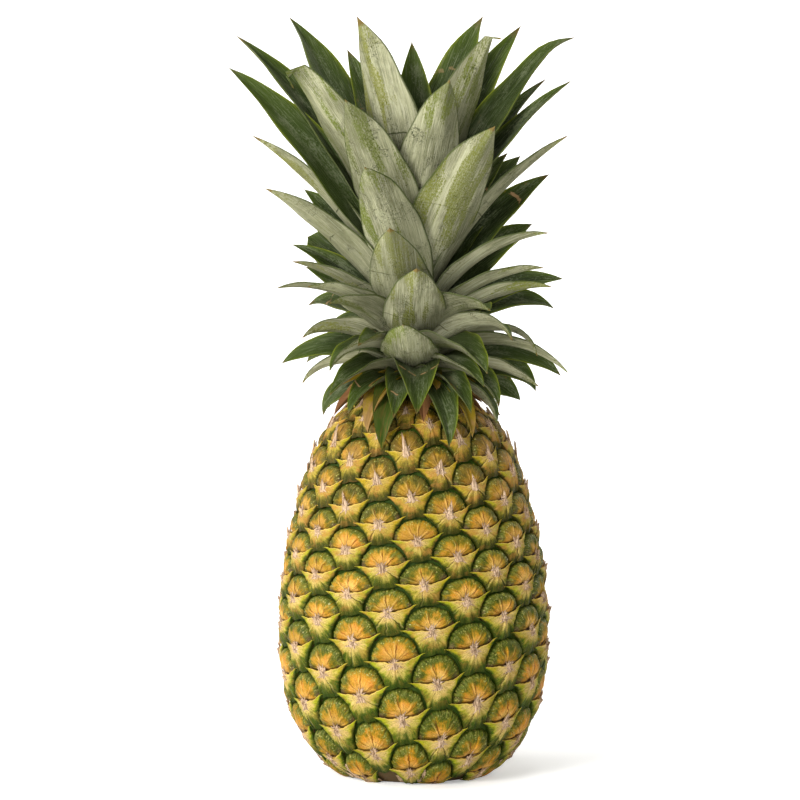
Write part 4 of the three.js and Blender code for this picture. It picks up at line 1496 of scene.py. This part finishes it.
def leaf_under_material(crown):
    """Grey waxy bloom with fine lines, rubbed off in green streaks."""
    material, graph, shader = new_material("leaf_underside")
    t, c, mood, place, seed = leaf_inputs(graph)
    lines = graph.group(effect("Fibres"), Place=place, Across=1.5, Along=0.03, Low=0.42, High=0.62)
    thin = graph.group(effect("Fibres"), Place=place, Across=3.4, Along=0.09, Low=0.5, High=0.62)
    shade = graph.group(
        effect("Patches"), Place=graph.scale(place, (1, 0.25, 1)), Scale=0.12, Grain=1.1, Low=0.4,
        High=0.62,
    )
    bloom = graph.mix(mood[1], tuple(crown.bloom), THIN_BLOOM)
    colour = graph.mix(graph.times(shade["Mask"], 0.85), bloom, SHADED_BLOOM)
    colour = graph.paint(colour, BLOOM_LINE, lines["Mask"], 0.35)
    colour = graph.paint(colour, WAX_LINE, thin["Mask"], 0.4)
    veins = graph.range(thin["Height"], 0.42, 0.3, 0.0, 0.55)
    colour = graph.paint(colour, VEIN, veins)
    grain = graph.noise(graph.scale(place, (1, 0.5, 1)), 1.8, 3, 0.75)
    streak = graph.noise(graph.scale(place, (0.17, 0.03, 1.0)), 1.0, 2)
    streak = graph.shift(streak, lines["Height"], 0.3)
    streak = graph.shift(streak, grain, 0.35)
    low = graph.times_plus(mood[0], -0.08, 0.67)
    low = graph.times_plus(graph.range(t, 0.2, 0.95), -0.06, low)
    rubbed = graph.range(streak, low, graph.plus(low, 0.07))
    tip = graph.shift(t, grain, 0.6)
    green = graph.math("MAXIMUM", rubbed, graph.times(graph.range(tip, 0.86, 1.0), 0.9))
    rubbed_colour = graph.mix(mood[2], tuple(crown.scraped), RUBBED_OLIVE)
    mottled = graph.times(green, graph.range(grain, 0.36, 0.6, 0.35, 0.95))
    colour = graph.paint(colour, rubbed_colour, mottled)
    flecks = graph.range(grain, 0.6, 0.66)
    clusters = graph.range(graph.noise(graph.scale(place, (0.12, 0.07, 1)), 1.0, 2), 0.48, 0.6)
    marks = graph.times(flecks, clusters)
    colour = graph.paint(colour, FLECK, marks, 0.7)
    wander = graph.noise(graph.scale(place, (0.14, 0.2, 1.0)), 1.0, 3, 0.6, 0.8)
    scratch = graph.range(graph.absolute(graph.minus(wander, 0.5)), 0.007, 0.001)
    scratch = graph.times(scratch, clusters)
    fold_at = graph.times_plus(mood[1], 0.3, 0.4)
    fold = graph.times(
        leaf_line(graph, t, c, fold_at, 0.004, seed), graph.range(mood[2], 0.55, 0.6)
    )
    fold = graph.times(fold, graph.range(graph.noise(place, 0.13, 1), 0.4, 0.5, 0.2, 1.0))
    scratch = graph.math("MAXIMUM", scratch, fold)
    colour = graph.paint(colour, SCRATCH, scratch, 0.85)
    inner = graph.range(
        graph.noise(graph.scale(place, (0.05, 0.012, 1)), 1.0, 1), 0.4, 0.62, 0.0, 0.45
    )
    colour = graph.paint(colour, INNER_SHADE, inner)
    colour = graph.paint(colour, ROOT_SHADE, graph.range(t, 0.3, 0.04), 0.85)
    margin = graph.range(graph.absolute(c), 0.94, 0.99)
    colour = graph.paint(colour, EDGE_GREEN, margin, 0.8)
    end = graph.range(graph.times_plus(mood[2], 0.03, t), 0.985, 1.0)
    colour = graph.paint(colour, tuple(crown.burnt), end)
    height = graph.times_plus(grain, 0.7, lines["Height"])
    height = graph.minus(height, graph.times(graph.math("MAXIMUM", scratch, marks), 0.7))
    rough = graph.times_plus(green, -0.2, 0.65)
    graph.surface(shader, colour, rough, height, 0.9, 0.5 * MM)
    return material


def leaf_upper_material(crown):
    """Dark green with pale dust, yellow edges and a brown tip."""
    material, graph, shader = new_material("leaf_upper_face")
    t, c, mood, place, seed = leaf_inputs(graph)
    lines = graph.group(effect("Fibres"), Place=place, Across=1.7, Along=0.03, Low=0.42, High=0.62)
    grain = graph.noise(graph.scale(place, (1, 0.4, 1)), 1.7, 3, 0.75)
    broad = graph.noise(graph.scale(place, (0.12, 0.05, 1)), 1.0, 2)
    dark = graph.mix(mood[0], tuple(crown.upper), LOW_GREEN)
    colour = graph.mix(graph.times(lines["Mask"], 0.5), dark, UPPER_LINE)
    aside = graph.absolute(c)
    fresh = graph.shift(t, lines["Height"], 0.5)
    fresh = graph.times_plus(graph.times(aside, aside), 0.3, fresh)
    colour = graph.paint(colour, FRESH_GREEN, graph.range(fresh, 0.65, 1.25))
    thin = graph.group(effect("Fibres"), Place=place, Across=3.2, Along=0.12, Low=0.52, High=0.64)
    colour = graph.paint(colour, UPPER_WAX, thin["Mask"], 0.4)
    dust = graph.shift(broad, grain, 0.9)
    dust = graph.times(graph.range(dust, 0.5, 0.72), graph.range(aside, 0.85, 0.4))
    colour = graph.paint(colour, DUST, dust, 0.45)
    glow = graph.shift(aside, grain, 0.3)
    glow = graph.times(graph.range(glow, 0.8, 1.04), graph.range(t, 0.3, 0.9, 0.05, 0.6))
    colour = graph.paint(colour, EDGE_YELLOW, glow)
    margin = graph.range(aside, 0.95, 0.99)
    colour = graph.paint(
        colour, tuple(crown.margin), graph.times(margin, graph.range(t, 0.2, 0.9, 0.15, 0.65))
    )
    scar_at = graph.times_plus(mood[1], 0.3, 0.55)
    scar = graph.times(
        leaf_line(graph, t, c, scar_at, 0.012, seed), graph.range(mood[2], 0.75, 0.8)
    )
    scar = graph.times(scar, graph.range(graph.noise(place, 0.3, 2), 0.44, 0.52))
    colour = graph.paint(colour, SCAR, scar, 0.85)
    rust = graph.range(graph.plus(broad, graph.times(grain, 0.5)), 0.98, 1.02)
    rust = graph.times(rust, graph.range(mood[1], 0.5, 0.55))
    colour = graph.paint(colour, LEAF_RUST, rust, 0.8)
    end = graph.shift(t, grain, 0.12)
    end = graph.range(graph.times_plus(mood[2], 0.04, end), 0.97, 1.02)
    colour = graph.paint(colour, TIP_BROWN, end, 0.9)
    height = graph.times_plus(grain, 0.5, lines["Height"])
    height = graph.times_plus(thin["Height"], 0.5, height)
    rough = graph.times_plus(dust, 0.2, 0.42)
    graph.surface(shader, colour, rough, height, 0.8, 0.45 * MM)
    return material


def old_leaf_material():
    """Small leaves at the neck that turn yellow and dry up; the first random value of a leaf
    says how far."""
    material, graph, shader = new_material("old_leaf")
    t, _, mood, place, _ = leaf_inputs(graph)
    lines = graph.group(effect("Fibres"), Place=place, Across=1.4, Along=0.08, Low=0.42, High=0.6)
    blotch = graph.group(effect("Patches"), Place=place, Scale=0.25, Grain=1.6, Low=0.45, High=0.62)
    age = graph.shift(graph.times(t, 0.8), lines["Height"], 0.5)
    age = graph.shift(age, blotch["Height"], 0.5)
    age = graph.plus(age, mood[0])
    colour = graph.mix(graph.range(age, 0.58, 0.85), OLD_GREEN, OLD_YELLOW)
    colour = graph.paint(colour, OLD_TAN, graph.range(age, 0.85, 1.1))
    colour = graph.paint(colour, OLD_BROWN, graph.range(age, 1.35, 1.7))
    colour = graph.paint(colour, OLD_LINE, lines["Mask"], 0.4)
    height = lines["Height"]
    graph.surface(shader, colour, 0.6, height, 0.7, 0.35 * MM)
    return material


def stem_material():
    """Pale pith with the ends of its fibres, and a brown rim."""
    material, graph, shader = new_material("stem_fibre")
    place = graph.attribute("spot")
    far = graph.split(graph.attribute("eye"))[0]
    dots = graph.group(effect("Specks"), Place=place, Scale=0.9, Size=0.36, Share=0.6)
    soft = graph.group(effect("Patches"), Place=place, Scale=0.15, Grain=1.2, Low=0.4, High=0.65)
    colour = graph.mix(soft["Mask"], PITH, PALE_PITH)
    colour = graph.paint(colour, FIBRE_END, dots["Mask"], 0.6)
    colour = graph.paint(colour, STEM_RIND, graph.range(far, 0.82, 0.98))
    height = graph.plus(dots["Mask"], graph.noise(place, 1.5, 4))
    graph.surface(shader, colour, 0.85, height, 0.7, 0.5 * MM)
    return material


# Stage

FLOOR_PROFILE = [(0, -3.0), (0, 1.2), (0.05, 1.6), (0.25, 1.95), (0.6, 2.15), (1.1, 2.2), (3.2, 2.2)]
FLOOR_HALF_WIDTH = 4.0
FLOOR_SEEN = (0.88, 0.9, 0.94, 1)
FLOOR_BOUNCE = (0.74, 0.74, 0.71, 1)
LAMP_COLOUR = (1, 0.97, 0.91)
BACKDROP_AIM = Vector((0, 3, 0.4))
LAMPS = {  # place, size and power
    "key": ((-1.1, -1.6, 0.9), 0.7, 42),
    "fill": ((0.1, -1.9, 0.05), 1.0, 20),
    "rim_left": ((-1.4, 0.1, 0.5), 0.8, 16),
    "rim_right": ((1.2, 0.8, 0.8), 0.8, 9),
    "top": ((0, -0.3, 1.9), 0.8, 10),
    "backdrop": ((0, 1.1, 1.6), 1.5, 30),
}


def floor_material():
    """A pale sheet, which the camera sees a little brighter than it lights the pineapple."""
    material, graph, shader = new_material("pale_floor")
    seen = graph.node("ShaderNodeLightPath").outputs["Is Camera Ray"]
    graph.put(shader["Base Color"], graph.mix(seen, FLOOR_BOUNCE, FLOOR_SEEN))
    shader["Emission Color"].default_value = (1, 1, 1, 1)
    graph.put(shader["Emission Strength"], graph.times(seen, 0.32))
    shader["Roughness"].default_value = 0.8
    return material


def add_floor():
    """A sheet that runs flat under the fruit and curves up behind it."""
    points = [
        (x, y, z) for z, y in FLOOR_PROFILE for x in (-FLOOR_HALF_WIDTH, FLOOR_HALF_WIDTH)
    ]
    faces = [(2 * k, 2 * k + 1, 2 * k + 3, 2 * k + 2) for k in range(len(FLOOR_PROFILE) - 1)]
    mesh = bpy.data.meshes.new("studio_floor")
    mesh.from_pydata(points, [], faces)
    mesh.materials.append(floor_material())
    mesh.shade_smooth()
    floor = bpy.data.objects.new("studio_floor", mesh)
    bpy.context.scene.collection.objects.link(floor)


def add_camera(stage, aim):
    data = bpy.data.cameras.new("camera")
    data.sensor_width = 36
    data.lens = data.sensor_width * stage.distance / stage.field
    camera = bpy.data.objects.new("camera", data)
    back = Vector((0, -math.cos(stage.elevation), math.sin(stage.elevation)))
    camera.location = aim + back * stage.distance
    camera.rotation_euler = (math.pi / 2 - stage.elevation, 0, 0)
    bpy.context.scene.collection.objects.link(camera)
    bpy.context.scene.camera = camera


def add_lamp(name, place, size, power, towards):
    light = bpy.data.lights.new(name, "AREA")
    light.shape = "SQUARE"
    light.size = size
    light.energy = power
    light.color = LAMP_COLOUR
    lamp = bpy.data.objects.new(name, light)
    lamp.location = place
    lamp.rotation_euler = (towards - Vector(place)).to_track_quat("-Z", "Y").to_euler()
    bpy.context.scene.collection.objects.link(lamp)


# Operators


class PINEAPPLE_OT_skin(bpy.types.Operator):
    """Build the dark skin between the eyes, with the hollow base"""

    bl_idname = "pineapple.skin"
    bl_label = "Skin"

    def execute(self, context):
        rind = context.scene.pineapple_rind
        piece = add_mesh("fruit_skin", skin_parts(), [skin_material(rind)])
        dress(piece, "fruit")
        return {"FINISHED"}


class PINEAPPLE_OT_domes(bpy.types.Operator):
    """Build the ridged dome of each eye"""

    bl_idname = "pineapple.domes"
    bl_label = "Domes"

    def execute(self, context):
        rind = context.scene.pineapple_rind
        material = dome_material(rind)
        for name, eyes in fruit_halves().items():
            parts = [dome_part(eye, rind) for eye in eyes]
            piece = add_mesh(f"fruit_domes_{name}", parts, [material])
            dress(piece, "fruit")
        return {"FINISHED"}


class PINEAPPLE_OT_bracts(bpy.types.Operator):
    """Build the winged bract under each eye and its dried tip"""

    bl_idname = "pineapple.bracts"
    bl_label = "Bracts and tips"

    def execute(self, context):
        rind = context.scene.pineapple_rind
        bract, dry = bract_material(rind), dry_material(rind)
        for name, eyes in fruit_halves().items():
            parts = [bract_part(eye, rind) for eye in eyes]
            piece = add_mesh(f"fruit_bracts_{name}", parts, [bract], BRACT_SHARP)
            dress(piece, "fruit")
            parts = [part for eye in eyes for part in tip_parts(eye, rind)]
            piece = add_mesh(f"fruit_dry_tips_{name}", parts, [dry], TIP_SHARP)
            dress(piece, "fruit")
        return {"FINISHED"}


class PINEAPPLE_OT_crown(bpy.types.Operator):
    """Build the crown's leaves"""

    bl_idname = "pineapple.crown"
    bl_label = "Crown"

    def execute(self, context):
        crown = context.scene.pineapple_crown
        materials = [leaf_upper_material(crown), leaf_under_material(crown)]
        whorls = {
            "crown_tall_leaves": TALL_LEAVES,
            "crown_middle_leaves": MIDDLE_LEAVES,
            "crown_low_leaves": LOW_LEAVES,
            "crown_back_leaves": back_leaves(),
        }
        seed = 1
        for name, leaves in whorls.items():
            parts = [leaf_part(leaf, seed + k, crown) for k, leaf in enumerate(leaves)]
            seed += len(leaves)
            piece = add_mesh(name, parts, materials, LEAF_SHARP)
            dress(piece, "crown")
        parts = []
        for k, (*leaf, age) in enumerate(neck_leaves()):
            parts.append(leaf_part(leaf, 400 + k, crown, (0, 0), age))
        piece = add_mesh("neck_leaves", parts, [old_leaf_material()], LEAF_SHARP)
        dress(piece, "crown")
        return {"FINISHED"}


class PINEAPPLE_OT_stem(bpy.types.Operator):
    """Build the fibrous cut stem in the base"""

    bl_idname = "pineapple.stem"
    bl_label = "Cut stem"

    def execute(self, context):
        piece = add_mesh("stem_cut_end", [stem_part()], [stem_material()], STEM_SHARP)
        dress(piece, "cut_stem")
        return {"FINISHED"}


class PINEAPPLE_OT_stage(bpy.types.Operator):
    """Build the floor, the lights and the camera"""

    bl_idname = "pineapple.stage"
    bl_label = "Stage"

    def execute(self, context):
        stage = context.scene.pineapple_stage
        aim = Vector((stage.aim_x, 0, stage.aim_z))
        add_floor()
        add_camera(stage, aim)
        for name, (place, size, power) in LAMPS.items():
            add_lamp(name, place, size, power, BACKDROP_AIM if name == "backdrop" else aim)
        world = context.scene.world or bpy.data.worlds.new("world")
        context.scene.world = world
        world.use_nodes = True
        background = next(n for n in world.node_tree.nodes if n.type == "BACKGROUND")
        background.inputs["Color"].default_value = (1, 1, 1, 1)
        background.inputs["Strength"].default_value = 0.2
        context.scene.view_settings.view_transform = "Standard"
        return {"FINISHED"}


class PINEAPPLE_PT_panel(bpy.types.Panel):
    bl_idname = "PINEAPPLE_PT_panel"
    bl_label = "Pineapple"
    bl_space_type = "VIEW_3D"
    bl_region_type = "UI"
    bl_category = "Pineapple"

    def draw(self, context):
        for operator in OPERATORS:
            self.layout.operator(operator.bl_idname)


OPERATORS = [
    PINEAPPLE_OT_stage,
    PINEAPPLE_OT_skin,
    PINEAPPLE_OT_domes,
    PINEAPPLE_OT_bracts,
    PINEAPPLE_OT_crown,
    PINEAPPLE_OT_stem,
]
GROUPS = {
    "pineapple_rind": PineappleRind,
    "pineapple_crown": PineappleCrown,
    "pineapple_stage": PineappleStage,
}


def register():
    for cls in [*GROUPS.values(), *OPERATORS, PINEAPPLE_PT_panel]:
        bpy.utils.register_class(cls)
    for name, cls in GROUPS.items():
        setattr(bpy.types.Scene, name, bpy.props.PointerProperty(type=cls))


def unregister():
    for name in GROUPS:
        delattr(bpy.types.Scene, name)
    for cls in [PINEAPPLE_PT_panel, *reversed(OPERATORS), *reversed(GROUPS.values())]:
        bpy.utils.unregister_class(cls)


def main():
    register()
    bpy.ops.pineapple.stage()
    bpy.ops.pineapple.skin()
    bpy.ops.pineapple.domes()
    bpy.ops.pineapple.bracts()
    bpy.ops.pineapple.crown()
    bpy.ops.pineapple.stem()


if __name__ == "__main__":
    main()
